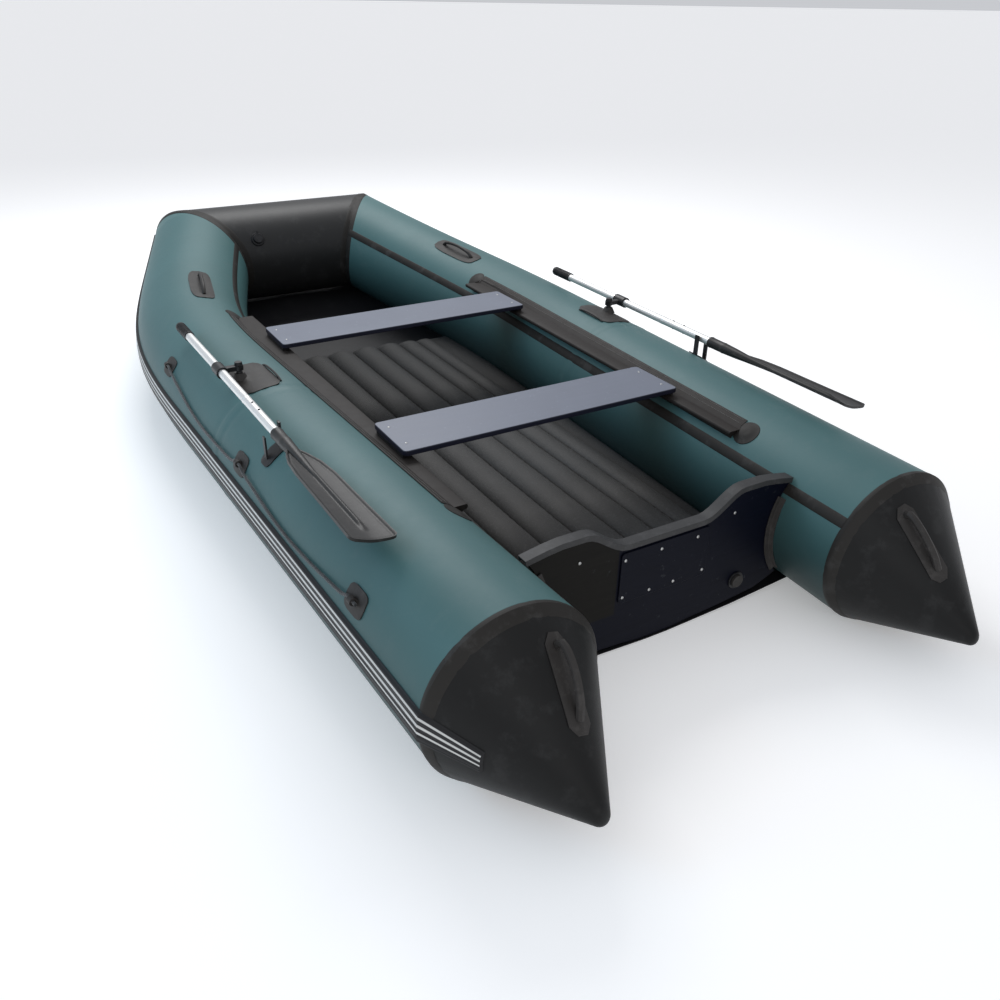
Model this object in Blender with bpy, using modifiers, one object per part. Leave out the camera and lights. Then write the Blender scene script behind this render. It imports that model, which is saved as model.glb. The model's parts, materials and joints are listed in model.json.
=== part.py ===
"""Rigid-transom inflatable boat: two tubes joined by a bow tube, an inflatable floor with a
shallow V bottom, two sliding bench seats and a pair of stowed oars. Metres, +Z up, +Y forward,
+X starboard. The origin is under the middle of the boat, on the surface that it stands on."""
import math

import bmesh
import bpy
from mathutils import Matrix, Vector

# ---- driving dimensions -------------------------------------------------------------------
TUBE_R = 0.209                 # inflated radius of the main tubes
SKIN = 0.0012                  # coated fabric thickness
GAP = 0.0003                   # clearance between pieces that touch
SEGMENTS = 32                  # sides of a tube
BOW_SPANS = 8                  # straight facets along the curve of the bow

TRANSOM_Y = -1.275             # aft face of the transom board
TUBE_X = 0.565                 # tube axis from the centreline at the transom
SPLAY = 0.0427                 # the tubes open by this much per metre towards the bow
TAIL_SEAM_Y = -1.487           # where the tail cones begin
PANEL_SEAM_Y = -0.236          # seam between the aft and the fore panels, over the inner baffle
BOW_START_Y = 0.124            # the tubes are straight aft of here
BOW_CORNER = Vector((0.378, 1.562, 0.349))
BOW_HANDLE_AFT = 0.700         # lengths of the bow curve's two Bezier handles
BOW_HANDLE_FORE = Vector((0.207, -0.576, -0.125))
MITRE_GAP = 0.0014             # each tube stops this far from the mitre plane, under the seam tape

CONE_LENGTH = 0.2676           # from the tail seam to the middle of the round nose
CONE_DROOP = 0.082             # how far the nose drops below the tube axis
CONE_DRIFT = 0.010             # how far the nose leans inboard
CONE_NOSE_R = 0.024
STRAKE_PAST = 0.105            # how far the rubbing strake runs on over the cone

SEAT_WIDTH = 0.200
SEAT_THICK = 0.015
SEAT_TOP = 0.402
SEATS = {"fore": (0.242, 0.928), "aft": (-0.661, 0.895)}     # centre y and length
SLIDER_H = 0.010
RAIL_AFT_Y = -1.03             # the rail runs forward from here over the bow's first spans
RAIL_BOW_SPANS = 2
RAIL_INNER_X = (0.410, 0.441)  # inner edge of the rail at its aft and fore ends
RAIL_TOP = SEAT_TOP - SEAT_THICK - SLIDER_H - 3 * GAP

BOARD_THICK = 0.025
BOARD_DIP_Z = 0.306            # low middle of the transom, where a motor clamps
BOARD_HUMP_Z = 0.366
HOLDER_WALL = 0.005
DRAIN = Vector((0.255, TRANSOM_Y, 0.085))
DRAIN_HOLE_R = 0.0145
WIDE_PAD = (1.0, 0.72, 0.38)   # rings of points across a pad that bends round the tube
PAD_LIFT = 0.0008              # height of a bonded pad's underside over the round of the tube

PIN = Vector((0.675, -0.098, 0.4290))      # centre of the rowlock's ball, starboard
PIN_R = 0.0058
BALL_R = 0.010
OAR_RISE = 0.016               # shaft axis above the ball
OAR_OUT = 0.055                # shaft axis outboard of the pin
OAR_SPLAY = 0.020
SHAFT_R = 0.013
SHAFT_WALL = 0.0014
OAR_GRIP_Y = 0.352
SOCKET_Y = -0.590              # fore end of the blade's socket
BLADE_TILTS = {"starboard": 15.0, "port": -13.0}    # each blade rests at its own feather, outer edge down
BLADE_HALF_W = 0.0545          # at the tip
BLADE_DISH = 0.008
CLIP_Y = -0.548                # station of the clip that holds the shaft

LINE_R = 0.004
LINE_LIFT = 0.0120             # height of the line's axis over the skin inside an eye
LINE_HOLE_R = LINE_R + 0.0014
LINE_STATIONS = ((0.308, 36.0), (-0.435, 28.0), (-1.165, 28.0))   # y and section angle

RIB_EDGES = (0.0, 0.110, 0.210, 0.295, 0.365)
RIB_VALLEY = 0.088
RIB_RISE = 0.034
FLOOR_Y = (-1.228, 0.76)
KEEL_STRIP_W = 0.060
BOTTOM_FORE_Y = 1.545          # the bottom ends close under the bow tube

VALVE_X = -0.165
VALVE_TURN = 28.0              # height angle of the valve on the bow tube's aft side
VALVE_R = 0.030
VALVE_HOLE_R = 0.0160          # opening in the fabric under the valve

HANDLE_Y = 0.862               # middle of the carry handles, near the top of the side tubes
HANDLE_ANGLE = 103.0
CONE_HANDLE_ANGLE = 108.0
CONE_HANDLE_START = 0.062      # aft of the tail seam
CONE_HANDLE_LENGTH = 0.104
CONE_HANDLE_PAD = 0.026        # half the width of the pad under the handle

# ---- scene and materials ------------------------------------------------------------------
for old in list(bpy.data.objects):
    bpy.data.objects.remove(old, do_unlink=True)

BOAT = bpy.data.collections.new("inflatable_boat")
CUTTERS = bpy.data.collections.new("cutters")
for group in (BOAT, CUTTERS):
    bpy.context.scene.collection.children.link(group)


def material(name, colour, roughness, metallic=0.0):
    mat = bpy.data.materials.get(name)
    if mat is None:
        mat = bpy.data.materials.new(name)
        mat.use_nodes = True
        shader = mat.node_tree.nodes["Principled BSDF"]
        shader.inputs["Base Color"].default_value = (*colour, 1.0)
        shader.inputs["Roughness"].default_value = roughness
        shader.inputs["Metallic"].default_value = metallic
    return mat


def teal_fabric():
    return material("teal_fabric", (0.13, 0.24, 0.25), 0.45)


def black_fabric():
    return material("black_fabric", (0.022, 0.022, 0.023), 0.5)


def floor_fabric():
    return material("floor_fabric", (0.06, 0.06, 0.058), 0.6)


def grey_fabric():
    return material("grey_fabric", (0.11, 0.10, 0.095), 0.6)


def black_rubber():
    return material("black_rubber", (0.018, 0.018, 0.018), 0.55)


def black_plastic():
    return material("black_plastic", (0.012, 0.012, 0.013), 0.35)


def bench_ply():
    return material("bench_ply", (0.20, 0.21, 0.27), 0.5)


def transom_ply():
    return material("transom_ply", (0.008, 0.009, 0.016), 0.5)


def trim_plastic():
    return material("trim_plastic", (0.15, 0.15, 0.15), 0.5)


def bare_aluminium():
    return material("bare_aluminium", (0.75, 0.75, 0.74), 0.3, 1.0)


def dark_rope():
    return material("dark_rope", (0.02, 0.022, 0.025), 0.8)


# ---- small modelling tools ----------------------------------------------------------------
def add_object(name, data, mat, group=BOAT):
    obj = bpy.data.objects.new(name, data)
    group.objects.link(obj)
    if mat is not None:
        data.materials.append(mat)
    return obj


def from_bmesh(name, bm, mat, group=BOAT):
    bmesh.ops.recalc_face_normals(bm, faces=bm.faces)
    mesh = bpy.data.meshes.new(name)
    bm.to_mesh(mesh)
    bm.free()
    return add_object(name, mesh, mat, group)


def box(name, size, centre, mat, turn=None, group=BOAT):
    bm = bmesh.new()
    bmesh.ops.create_cube(bm, size=1.0)
    bmesh.ops.scale(bm, vec=size, verts=bm.verts)
    obj = from_bmesh(name, bm, mat, group)
    obj.data.transform(Matrix.Translation(centre) @ (turn or Matrix.Identity(4)))
    return obj


def rod(name, start, end, radius, mat, end_radius=None, sides=20, group=BOAT):
    """A closed cylinder or cone between two points."""
    axis = Vector(end) - Vector(start)
    bm = bmesh.new()
    bmesh.ops.create_cone(bm, cap_ends=True, segments=sides, radius1=radius,
                          radius2=radius if end_radius is None else end_radius, depth=axis.length)
    obj = from_bmesh(name, bm, mat, group)
    turn = axis.to_track_quat("Z", "Y").to_matrix().to_4x4()
    obj.data.transform(Matrix.Translation((Vector(start) + Vector(end)) / 2) @ turn)
    return obj


def loft(bm, rings, close=True):
    """Skin a row of rings of equal count; closed at both ends by a face when close is set."""
    loops = [[bm.verts.new(point) for point in ring] for ring in rings]
    count = len(loops[0])
    for low, high in zip(loops, loops[1:]):
        for i in range(count):
            bm.faces.new((low[i], low[(i + 1) % count], high[(i + 1) % count], high[i]))
    if close:
        bm.faces.new(reversed(loops[0]))
        bm.faces.new(loops[-1])


def solid_loft(name, rings, mat):
    bm = bmesh.new()
    loft(bm, rings)
    return from_bmesh(name, bm, mat)


def solidify(obj, thickness, offset=-1.0):
    mod = obj.modifiers.new("wall", "SOLIDIFY")
    mod.thickness = thickness
    mod.offset = offset
    return obj


def smooth_points(points, count):
    """Points along a Catmull-Rom curve through the given ones."""
    ends = [2 * points[0] - points[1], *points, 2 * points[-1] - points[-2]]
    spans = len(points) - 1
    result = []
    for k in range(count):
        place = spans * k / (count - 1)
        i = min(int(place), spans - 1)
        t = place - i
        a, b, c, d = ends[i:i + 4]
        result.append(0.5 * (2 * b + (c - a) * t + (2 * a - 5 * b + 4 * c - d) * t * t
                             + (3 * b - a - 3 * c + d) * t ** 3))
    return result


def cable(name, points, radius, mat, resolution=2):
    """A round bar or rope: a bevelled curve with filled ends."""
    curve = bpy.data.curves.new(name, "CURVE")
    curve.dimensions = "3D"
    curve.bevel_depth = radius
    curve.bevel_resolution = resolution
    curve.use_fill_caps = True
    spline = curve.splines.new("POLY")
    spline.points.add(len(points) - 1)
    for slot, point in zip(spline.points, points):
        slot.co = (*point, 1.0)
    return add_object(name, curve, mat)


def as_mesh(obj):
    """The object's evaluated shape as a plain welded mesh, with its modifiers used up."""
    graph = bpy.context.evaluated_depsgraph_get()
    mesh = bpy.data.meshes.new_from_object(obj.evaluated_get(graph))
    mesh.transform(obj.matrix_world)
    name, group = obj.name, obj.users_collection[0]
    mat = mesh.materials[0] if mesh.materials else None
    bpy.data.objects.remove(obj, do_unlink=True)
    bm = bmesh.new()
    bm.from_mesh(mesh)
    bmesh.ops.remove_doubles(bm, verts=bm.verts, dist=0.00002)
    mesh.materials.clear()
    return from_bmesh(name, bm, mat, group)


def combine(obj, tools, operation):
    """Join or cut an object with others; the tools are used up."""
    for tool in tools:
        mod = obj.modifiers.new(operation, "BOOLEAN")
        mod.operation = operation
        mod.solver = "EXACT"
        mod.object = tool
    bpy.context.view_layer.update()
    result = as_mesh(obj)
    for tool in tools:
        bpy.data.objects.remove(tool, do_unlink=True)
    return result


def mirrored(obj, name):
    """The port-side twin of a starboard piece."""
    data = obj.data.copy()
    if obj.type == "MESH":
        data.transform(Matrix.Scale(-1, 4, (1, 0, 0)))
        data.flip_normals()
    else:
        for point in data.splines[0].points:
            point.co.x *= -1
    twin = bpy.data.objects.new(name, data)
    twin.location = (-obj.location.x, obj.location.y, obj.location.z)
    BOAT.objects.link(twin)
    for mod in obj.modifiers:
        copy = twin.modifiers.new(mod.name, mod.type)
        copy.thickness = mod.thickness
        copy.offset = mod.offset
    return twin


def both_sides(make, name):
    """Make a piece on the starboard side and its twin on the port side."""
    obj = make(name + "_starboard")
    return obj, mirrored(obj, name + "_port")


def set_origin(obj, point):
    obj.data.transform(Matrix.Translation(-Vector(point)))
    obj.location = point


# ---- tube geometry ------------------------------------------------------------------------
def straight_axis(y):
    return Vector((TUBE_X + SPLAY * (y - TRANSOM_Y), y, TUBE_R))


STRAIGHT_DIR = Vector((SPLAY, 1.0, 0.0)).normalized()
BOW_POINTS = (straight_axis(BOW_START_Y),
              straight_axis(BOW_START_Y) + BOW_HANDLE_AFT * STRAIGHT_DIR,
              BOW_CORNER + BOW_HANDLE_FORE, BOW_CORNER)


def bow_axis(t):
    a, b, c, d = BOW_POINTS
    s = 1 - t
    point = s ** 3 * a + 3 * s * s * t * b + 3 * s * t * t * c + t ** 3 * d
    slope = s * s * (b - a) + 2 * s * t * (c - b) + t * t * (d - c)
    return point, slope.normalized()


def axis_at(y):
    """Centre and direction of the starboard tube at a station y."""
    if y <= BOW_START_Y:
        return straight_axis(y), STRAIGHT_DIR
    low, high = 0.0, 1.0
    for _ in range(40):
        middle = (low + high) / 2
        if bow_axis(middle)[0].y < y:
            low = middle
        else:
            high = middle
    return bow_axis(low)


def section_axes(direction):
    """Outboard and upward unit vectors across the tube."""
    outboard = direction.cross(Vector((0, 0, 1))).normalized()
    return outboard, outboard.cross(direction)


def on_tube(y, angle, height=0.0):
    """A point on the starboard tube: 0 is outboard, 90 the top, 180 inboard, 270 below."""
    centre, direction = axis_at(y)
    outboard, up = section_axes(direction)
    a = math.radians(angle)
    return centre + (TUBE_R + height) * (math.cos(a) * outboard + math.sin(a) * up)


def tube_ring(centre, direction, radius, sides=SEGMENTS):
    outboard, up = section_axes(direction)
    turns = [2 * math.pi * k / sides for k in range(sides)]
    return [centre + radius * (math.cos(a) * outboard + math.sin(a) * up) for a in turns]


def tube_panel(name, frames, mat, cuts=()):
    """An open-ended fabric tube through the given centres, trimmed by planes."""
    bm = bmesh.new()
    loft(bm, [tube_ring(c, d, TUBE_R) for c, d in frames], close=False)
    for point, normal in cuts:
        bmesh.ops.bisect_plane(bm, geom=bm.verts[:] + bm.edges[:] + bm.faces[:],
                               plane_co=point, plane_no=normal, clear_outer=True)
    return solidify(from_bmesh(name, bm, mat), SKIN)


def sweep(name, stations, section, mat):
    """A bar whose section (out from the tube, round the tube) follows the tube.

    section gives (angle in degrees, height above the skin) pairs for each corner."""
    rings = [[on_tube(y, angle, height) for angle, height in section] for y in stations]
    return solid_loft(name, rings, mat)


def span(start, end, count):
    return [start + (end - start) * k / (count - 1) for k in range(count)]


def surface_frame(y, angle, height=0.0):
    """Matrix at a point on the starboard tube: Z out of the skin, Y forward along the tube."""
    centre, direction = axis_at(y)
    point = on_tube(y, angle, height)
    normal = (point - centre).normalized()
    across = direction.cross(normal)
    frame = Matrix((across, direction, normal)).transposed().to_4x4()
    frame.translation = point
    return frame


def pad(name, y, angle, length, width, thickness, mat, sides=14, levels=(1.0, 0.5)):
    """A glued patch with round ends that lies on the tube."""
    bm = bmesh.new()

    def place(u, v, height):
        return on_tube(y + u, angle + math.degrees(v / TUBE_R), height)

    def outline(scale):
        points = []
        for k in range(sides):
            a = 2 * math.pi * k / sides
            c, s = math.cos(a), math.sin(a)
            u = math.copysign(math.sqrt(abs(c)), c) * length / 2 * scale
            v = math.copysign(math.sqrt(abs(s)), s) * width / 2 * scale
            points.append((u, v))
        return points

    low, high = PAD_LIFT, PAD_LIFT + thickness
    sheets = []
    for height in (low, high):
        rings = [[bm.verts.new(place(u, v, height)) for u, v in outline(scale)] for scale in levels]
        middle = bm.verts.new(place(0, 0, height))
        sheets.append(rings[0])
        for i in range(sides):
            j = (i + 1) % sides
            for outer, inner in zip(rings, rings[1:]):
                bm.faces.new((outer[i], outer[j], inner[j], inner[i]))
            bm.faces.new((rings[-1][i], rings[-1][j], middle))
    for i in range(sides):
        j = (i + 1) % sides
        bm.faces.new((sheets[0][i], sheets[0][j], sheets[1][j], sheets[1][i]))
    return from_bmesh(name, bm, mat)


# ---- hull tubes ---------------------------------------------------------------------------
def aft_panel(name):
    stations = (TAIL_SEAM_Y + GAP, PANEL_SEAM_Y - GAP)
    return tube_panel(name, [(straight_axis(y), STRAIGHT_DIR) for y in stations], teal_fabric())


def mitre():
    """The plane where the side tube meets the bow tube."""
    normal = (bow_axis(1.0)[1] + Vector((-1, 0, 0))).normalized()
    return BOW_CORNER, normal


def fore_panel(name):
    frames = [(straight_axis(y), STRAIGHT_DIR) for y in (PANEL_SEAM_Y, BOW_START_Y)]
    frames += [bow_axis(k / BOW_SPANS) for k in range(1, BOW_SPANS + 1)]
    corner, direction = frames[-1]
    frames.append((corner + 0.4 * direction, direction))
    point, normal = mitre()
    return tube_panel(name, frames, teal_fabric(), [(point - MITRE_GAP * normal, normal)])


def bow_panel():
    reach = BOW_CORNER.x + 0.4
    frames = [(Vector((x, BOW_CORNER.y, BOW_CORNER.z)), Vector((-1, 0, 0))) for x in (reach, -reach)]
    point, normal = mitre()
    port = Vector((-1, 1, 1))
    cuts = [(point + MITRE_GAP * normal, -normal),
            (point * port + MITRE_GAP * normal * port, -(normal * port))]
    bow = tube_panel("bow_tube", frames, black_fabric(), cuts)
    frame = valve_frame()
    hole = rod("valve_hole", frame @ Vector((0, 0, -0.03)), frame @ Vector((0, 0, 0.03)), VALVE_HOLE_R, None,
               group=CUTTERS)
    return combine(bow, [hole], "DIFFERENCE")


def cone_slope():
    """Angle between the cone's straight side and its axis, where the side meets the round nose."""
    reach = math.hypot(TUBE_R, CONE_LENGTH)
    return math.acos(CONE_NOSE_R / reach) - math.atan2(CONE_LENGTH, TUBE_R)


def cone_axis(distance):
    """The middle of the cone at a distance aft of the tail seam."""
    centre = straight_axis(TAIL_SEAM_Y - distance)
    share = distance / CONE_LENGTH
    return centre - Vector((CONE_DRIFT * share, 0, CONE_DROOP * share))


def cone_radius(distance):
    return TUBE_R - distance * math.tan(cone_slope())


def cone_rings(extra=0.0):
    """Rings of a tail cone: a straight-sided cone with a small round nose that points down and aft."""
    slope = cone_slope()
    straight = CONE_LENGTH + CONE_NOSE_R * math.sin(slope)
    rings = []
    for distance in span(GAP + SKIN * math.sin(slope), straight, 5):
        rings.append(tube_ring(cone_axis(distance), STRAIGHT_DIR, cone_radius(distance) + extra))
    for turn in (math.radians(58), math.radians(80)):
        centre = cone_axis(CONE_LENGTH + CONE_NOSE_R * math.sin(turn))
        rings.append(tube_ring(centre, STRAIGHT_DIR, (CONE_NOSE_R + extra) * math.cos(turn)))
    return rings


def tail_cone(name):
    bm = bmesh.new()
    loft(bm, cone_rings(), close=False)
    bm.verts.ensure_lookup_table()
    bm.faces.new(bm.verts[-SEGMENTS:])
    return solidify(from_bmesh(name, bm, black_rubber()), SKIN)


def trim_to_hull(obj, rings):
    """Cut a bonded piece flush with the skin under it."""
    bm = bmesh.new()
    loft(bm, rings)
    return combine(obj, [from_bmesh("hull_cutter", bm, None, CUTTERS)], "DIFFERENCE")


def trim_to_tube(obj):
    frames = [(straight_axis(y), STRAIGHT_DIR) for y in (TAIL_SEAM_Y, BOW_START_Y)]
    frames += [bow_axis(k / BOW_SPANS) for k in range(1, BOW_SPANS + 1)]
    return trim_to_hull(obj, [tube_ring(c, d, TUBE_R + 2 * GAP) for c, d in frames])


def inner_baffle(name):
    """The fabric diaphragm that parts the two air chambers of a side tube."""
    rings = []
    for share, bulge in ((0.97, 0.0), (0.8, 0.05), (0.5, 0.085), (0.2, 0.1)):
        centre = straight_axis(PANEL_SEAM_Y + bulge)
        rings.append(tube_ring(centre, STRAIGHT_DIR, (TUBE_R - SKIN) * share, sides=12))
    bm = bmesh.new()
    loft(bm, rings, close=False)
    bm.verts.ensure_lookup_table()
    bm.faces.new(bm.verts[-12:])
    return solidify(from_bmesh(name, bm, grey_fabric()), SKIN)


def rubbing_strake():
    """The fender band that runs round the outside from one tail cone to the other."""
    middle = 4.0
    stations = span(TAIL_SEAM_Y - STRAKE_PAST, TAIL_SEAM_Y, 3) + [PANEL_SEAM_Y, BOW_START_Y]
    stations += [bow_axis(k / BOW_SPANS)[0].y for k in range(1, BOW_SPANS)]
    section = ((-10.0, 0.0035), (-6.5, 0.0085), (6.5, 0.0085), (10.0, 0.0035), (10.0, 0.0010), (5.0, 0.0010),
               (0.0, 0.0010), (-5.0, 0.0010), (-10.0, 0.0010))

    side = []
    for y in stations:
        skin = cone_skin if y < TAIL_SEAM_Y else on_tube
        side.append([skin(y, middle + angle, height) for angle, height in section])
    point, normal = mitre()
    corner = []
    for a, h in section:
        near = bow_axis(1.0)
        outboard, up = section_axes(near[1])
        turn = math.radians(middle + a)
        start = near[0] + (TUBE_R + h) * (math.cos(turn) * outboard + math.sin(turn) * up)
        reach = (point - start).dot(normal) / near[1].dot(normal)
        corner.append(start + reach * near[1])
    side.append(corner)
    port = [[Vector((-p.x, p.y, p.z)) for p in ring] for ring in reversed(side)]
    return solid_loft("rubbing_strake", side + port, black_rubber())


def cone_skin(y, angle, height=0.0):
    """A point on the tail cone's straight side."""
    distance = TAIL_SEAM_Y - y
    outboard, up = section_axes(STRAIGHT_DIR)
    a = math.radians(angle)
    return cone_axis(distance) + (cone_radius(distance) + height) * (math.cos(a) * outboard + math.sin(a) * up)


def seam_tape(name):
    stations = [TAIL_SEAM_Y + 0.01, BOW_START_Y]
    stations += [bow_axis(k / BOW_SPANS)[0].y for k in range(1, BOW_SPANS)]
    section = ((143, 0.0006), (143, 0.0018), (147, 0.0020), (151, 0.0018), (151, 0.0006), (147, 0.0006))
    return sweep(name, stations, section, black_fabric())


def seat_rail(name):
    """A fabric flange on the tube that carries the channel in which a bench slides."""
    reach = math.sqrt(TUBE_R ** 2 - (RAIL_TOP - TUBE_R) ** 2)
    stations = [RAIL_AFT_Y, PANEL_SEAM_Y, BOW_START_Y]
    stations += [bow_axis(k / BOW_SPANS)[0].y for k in range(1, RAIL_BOW_SPANS + 1)]
    rings = []
    for y in stations:
        share = (y - RAIL_AFT_Y) / (stations[-1] - RAIL_AFT_Y)
        inner = RAIL_INNER_X[0] + share * (RAIL_INNER_X[1] - RAIL_INNER_X[0])
        bonded = [on_tube(y, angle, 0.0006) for angle in (118, 124, 130, 137)]
        channel = [Vector((inner, y, RAIL_TOP - 0.013)), Vector((inner, y, RAIL_TOP)),
                   Vector((straight_axis(y).x - reach - 0.004, y, RAIL_TOP))]
        rings.append(bonded + channel + [on_tube(y, 123, 0.003), on_tube(y, 118, 0.003)])
    bm = bmesh.new()
    loft(bm, rings)
    bmesh.ops.triangulate(bm, faces=bm.faces[:])
    return from_bmesh(name, bm, grey_fabric())


# ---- floor --------------------------------------------------------------------------------
def inner_wall(y, z):
    """Half the clear width between the tubes at a height."""
    centre, direction = axis_at(y)
    level = min(max((z - centre.z) / TUBE_R, -0.999), 0.999)
    return centre.x - TUBE_R * math.sqrt(1 - level * level) / max(direction.y, 0.5) - 0.003


def rib_profile(half_width):
    """Half of the deck's section, from the centreline out: round ribs between sewn valleys."""
    points = []
    for inner, outer in zip(RIB_EDGES, RIB_EDGES[1:]):
        middle, half = (inner + outer) / 2, (outer - inner) / 2
        for a in (180, 150, 120, 90, 60, 30):
            turn = math.radians(a)
            rise = RIB_RISE * half / 0.055 * math.sin(turn)
            points.append((middle + half * math.cos(turn), RIB_VALLEY + rise))
    points.append((RIB_EDGES[-1], RIB_VALLEY))
    points.append((max(half_width, RIB_EDGES[-1] + 0.006), RIB_VALLEY + 0.004))
    return points


def floor_deck():
    bm = bmesh.new()
    rows = []
    for y in span(*FLOOR_Y, 5):
        half = rib_profile(inner_wall(y, RIB_VALLEY + 0.004))
        row = [Vector((-x, y, z)) for x, z in reversed(half[1:])] + [Vector((x, y, z)) for x, z in half]
        rows.append([bm.verts.new(p) for p in row])
    for low, high in zip(rows, rows[1:]):
        for i in range(len(low) - 1):
            bm.faces.new((low[i], low[i + 1], high[i + 1], high[i]))
    return solidify(from_bmesh("floor_deck", bm, floor_fabric()), SKIN, offset=1.0)


def floor_webs():
    """The upright webs that hold the floor flat, joined along a base strip."""
    web, top, base = SKIN / 2, RIB_VALLEY - SKIN - 0.001, 0.040
    edges = [-x for x in reversed(RIB_EDGES[1:4])] + list(RIB_EDGES[:4])
    outline = [(edges[0] - web, base)]
    for k, x in enumerate(edges):
        outline += [(x - web, top), (x + web, top)]
        if k < len(edges) - 1:
            outline += [(x + web, base + SKIN), (edges[k + 1] - web, base + SKIN)]
    outline.append((edges[-1] + web, base))
    ends = (FLOOR_Y[0] + 0.03, FLOOR_Y[1] - 0.06)
    return solid_loft("floor_webs", [[Vector((x, y, z)) for x, z in outline] for y in ends], grey_fabric())


def keel_height(y):
    rise = min(max(0.0, (y - 0.55) / (1.50 - 0.55)), 1.0)
    return 0.0042 + 0.1335 * rise ** 1.7


def bottom_skin():
    """The outer bottom, a shallow V hung between the undersides of the tubes."""
    bm = bmesh.new()
    rows = []
    for y in span(TRANSOM_Y - 0.004, 0.55, 4) + span(0.74, 1.50, 5) + [BOTTOM_FORE_Y]:
        forward = min(max(0.0, (y - 0.4) / 1.1), 1.0)
        edge = on_tube(y, 240 + 18 * forward, 0.0030 if y < BOTTOM_FORE_Y else 0.0080)
        keel = Vector((0, y, keel_height(y)))
        flat = Vector((0.035, y, keel.z))
        middle = (flat + edge) / 2 + Vector((0, 0, -0.004))
        half = [keel, flat, middle, edge]
        row = [Vector((-p.x, p.y, p.z)) for p in reversed(half[1:])] + half
        rows.append([bm.verts.new(p) for p in row])
    for low, high in zip(rows, rows[1:]):
        for i in range(len(low) - 1):
            bm.faces.new((low[i], low[i + 1], high[i + 1], high[i]))
    return solidify(from_bmesh("bottom_skin", bm, black_fabric()), SKIN, offset=1.0)


def keel_strip():
    """A wear strip bonded under the keel; it touches the ground with the tubes."""
    top, edge, half = 0.0027, 0.0012, KEEL_STRIP_W / 2
    section = ((-half, edge), (0.004 - half, 0.0), (half - 0.004, 0.0), (half, edge), (half, top), (-half, top))
    rings = [[Vector((x, y, z)) for x, z in section] for y in (TRANSOM_Y + 0.02, 0.0, 0.54)]
    return solid_loft("keel_strip", rings, black_rubber())


# ---- transom ------------------------------------------------------------------------------
def board_side(angle, clearance=HOLDER_WALL + 4 * GAP):
    """A point of the board's side edge, which hugs the round of the tube."""
    a = math.radians(angle)
    reach = TUBE_R + clearance
    return Vector((TUBE_X + reach * math.cos(a), 0, TUBE_R + reach * math.sin(a)))


def transom_top():
    """Half of the top edge, from the centreline out to the tube."""
    points = [Vector((x, 0, BOARD_DIP_Z)) for x in (0.0, 0.115)]
    for k in range(1, 7):
        t = k / 7
        ease = t * t * (3 - 2 * t)
        points.append(Vector((0.115 + 0.125 * t, 0, BOARD_DIP_Z + (BOARD_HUMP_Z - BOARD_DIP_Z) * ease)))
    points += [Vector((0.24, 0, BOARD_HUMP_Z)), Vector((0.305, 0, BOARD_HUMP_Z)), Vector((0.345, 0, 0.361))]
    points.append(board_side(139))
    return points


def board_outline():
    half = transom_top()
    half += [board_side(a) for a in span(148, 222, 9)]
    half += [Vector((0.376, 0, 0.052)), Vector((0.33, 0, 0.034)), Vector((0.20, 0, 0.020)),
             Vector((0.11, 0, 0.014)), Vector((0.055, 0, 0.0075)), Vector((0.0, 0, 0.0065))]
    return half


def plate_from_half(name, half, y_low, y_high, mat):
    """An upright plate from half its outline, which starts and ends on the centreline."""
    whole = half + [Vector((-p.x, 0, p.z)) for p in reversed(half[1:-1])]
    rings = [[Vector((p.x, y, p.z)) for p in whole] for y in (y_low, y_high)]
    return solid_loft(name, rings, mat)


def transom_board():
    board = plate_from_half("transom_board", board_outline(), TRANSOM_Y, TRANSOM_Y + BOARD_THICK,
                            transom_ply())
    hole = rod("drain_hole", DRAIN - Vector((0, 0.05, 0)), DRAIN + Vector((0, 0.08, 0)), DRAIN_HOLE_R, None,
               group=CUTTERS)
    return combine(board, [hole], "DIFFERENCE")


def top_trim():
    """A moulded channel pressed over the top edge of the board."""
    half = transom_top()
    whole = [Vector((-p.x, 0, p.z)) for p in reversed(half[1:])] + half
    wall, leg = 0.003, 0.012
    low, high = TRANSOM_Y - GAP, TRANSOM_Y + BOARD_THICK + GAP
    section = ((low - wall, wall), (high + wall, wall), (high + wall, -leg), (high, -leg),
               (high, GAP), (low, GAP), (low, -leg), (low - wall, -leg))
    rings = []
    for i, point in enumerate(whole):
        before, after = whole[max(i - 1, 0)], whole[min(i + 1, len(whole) - 1)]
        along = (after - before).normalized()
        out = Vector((-along.z, 0, along.x))
        rings.append([Vector((point.x, y, point.z)) + out * h for y, h in section])
    return solid_loft("transom_trim", rings, trim_plastic())


def motor_plate():
    """The outer clamp plate for a motor, with clipped corners."""
    half = [Vector((0, 0, 0.288)), Vector((0.130, 0, 0.288)), Vector((0.136, 0, 0.282)),
            Vector((0.136, 0, 0.151)), Vector((0.130, 0, 0.145)), Vector((0, 0, 0.145))]
    return plate_from_half("motor_plate", half, TRANSOM_Y - GAP - 0.004, TRANSOM_Y - GAP, black_plastic())


def transom_holder(name):
    """The rubber socket, bonded to the tube, that grips the board's side edge."""
    low, high = TRANSOM_Y - GAP, TRANSOM_Y + BOARD_THICK + GAP
    lip, wall, leg = 0.016, 0.004, 0.014
    base = TUBE_R + 3 * GAP
    top = base + HOLDER_WALL - 2 * GAP
    section = ((base, low - lip), (base, high + lip), (base + 0.002, high + lip), (top, high + wall),
               (top + leg, high + wall), (top + leg, high), (top, high), (top, low), (top + leg, low),
               (top + leg, low - wall), (top, low - wall), (base + 0.002, low - lip))
    rings = []
    for angle in span(154, 216, 9):
        a = math.radians(angle)
        rings.append([Vector((straight_axis(y).x + r * math.cos(a), y, TUBE_R + r * math.sin(a)))
                      for r, y in section])
    return solid_loft(name, rings, black_rubber())


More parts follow.
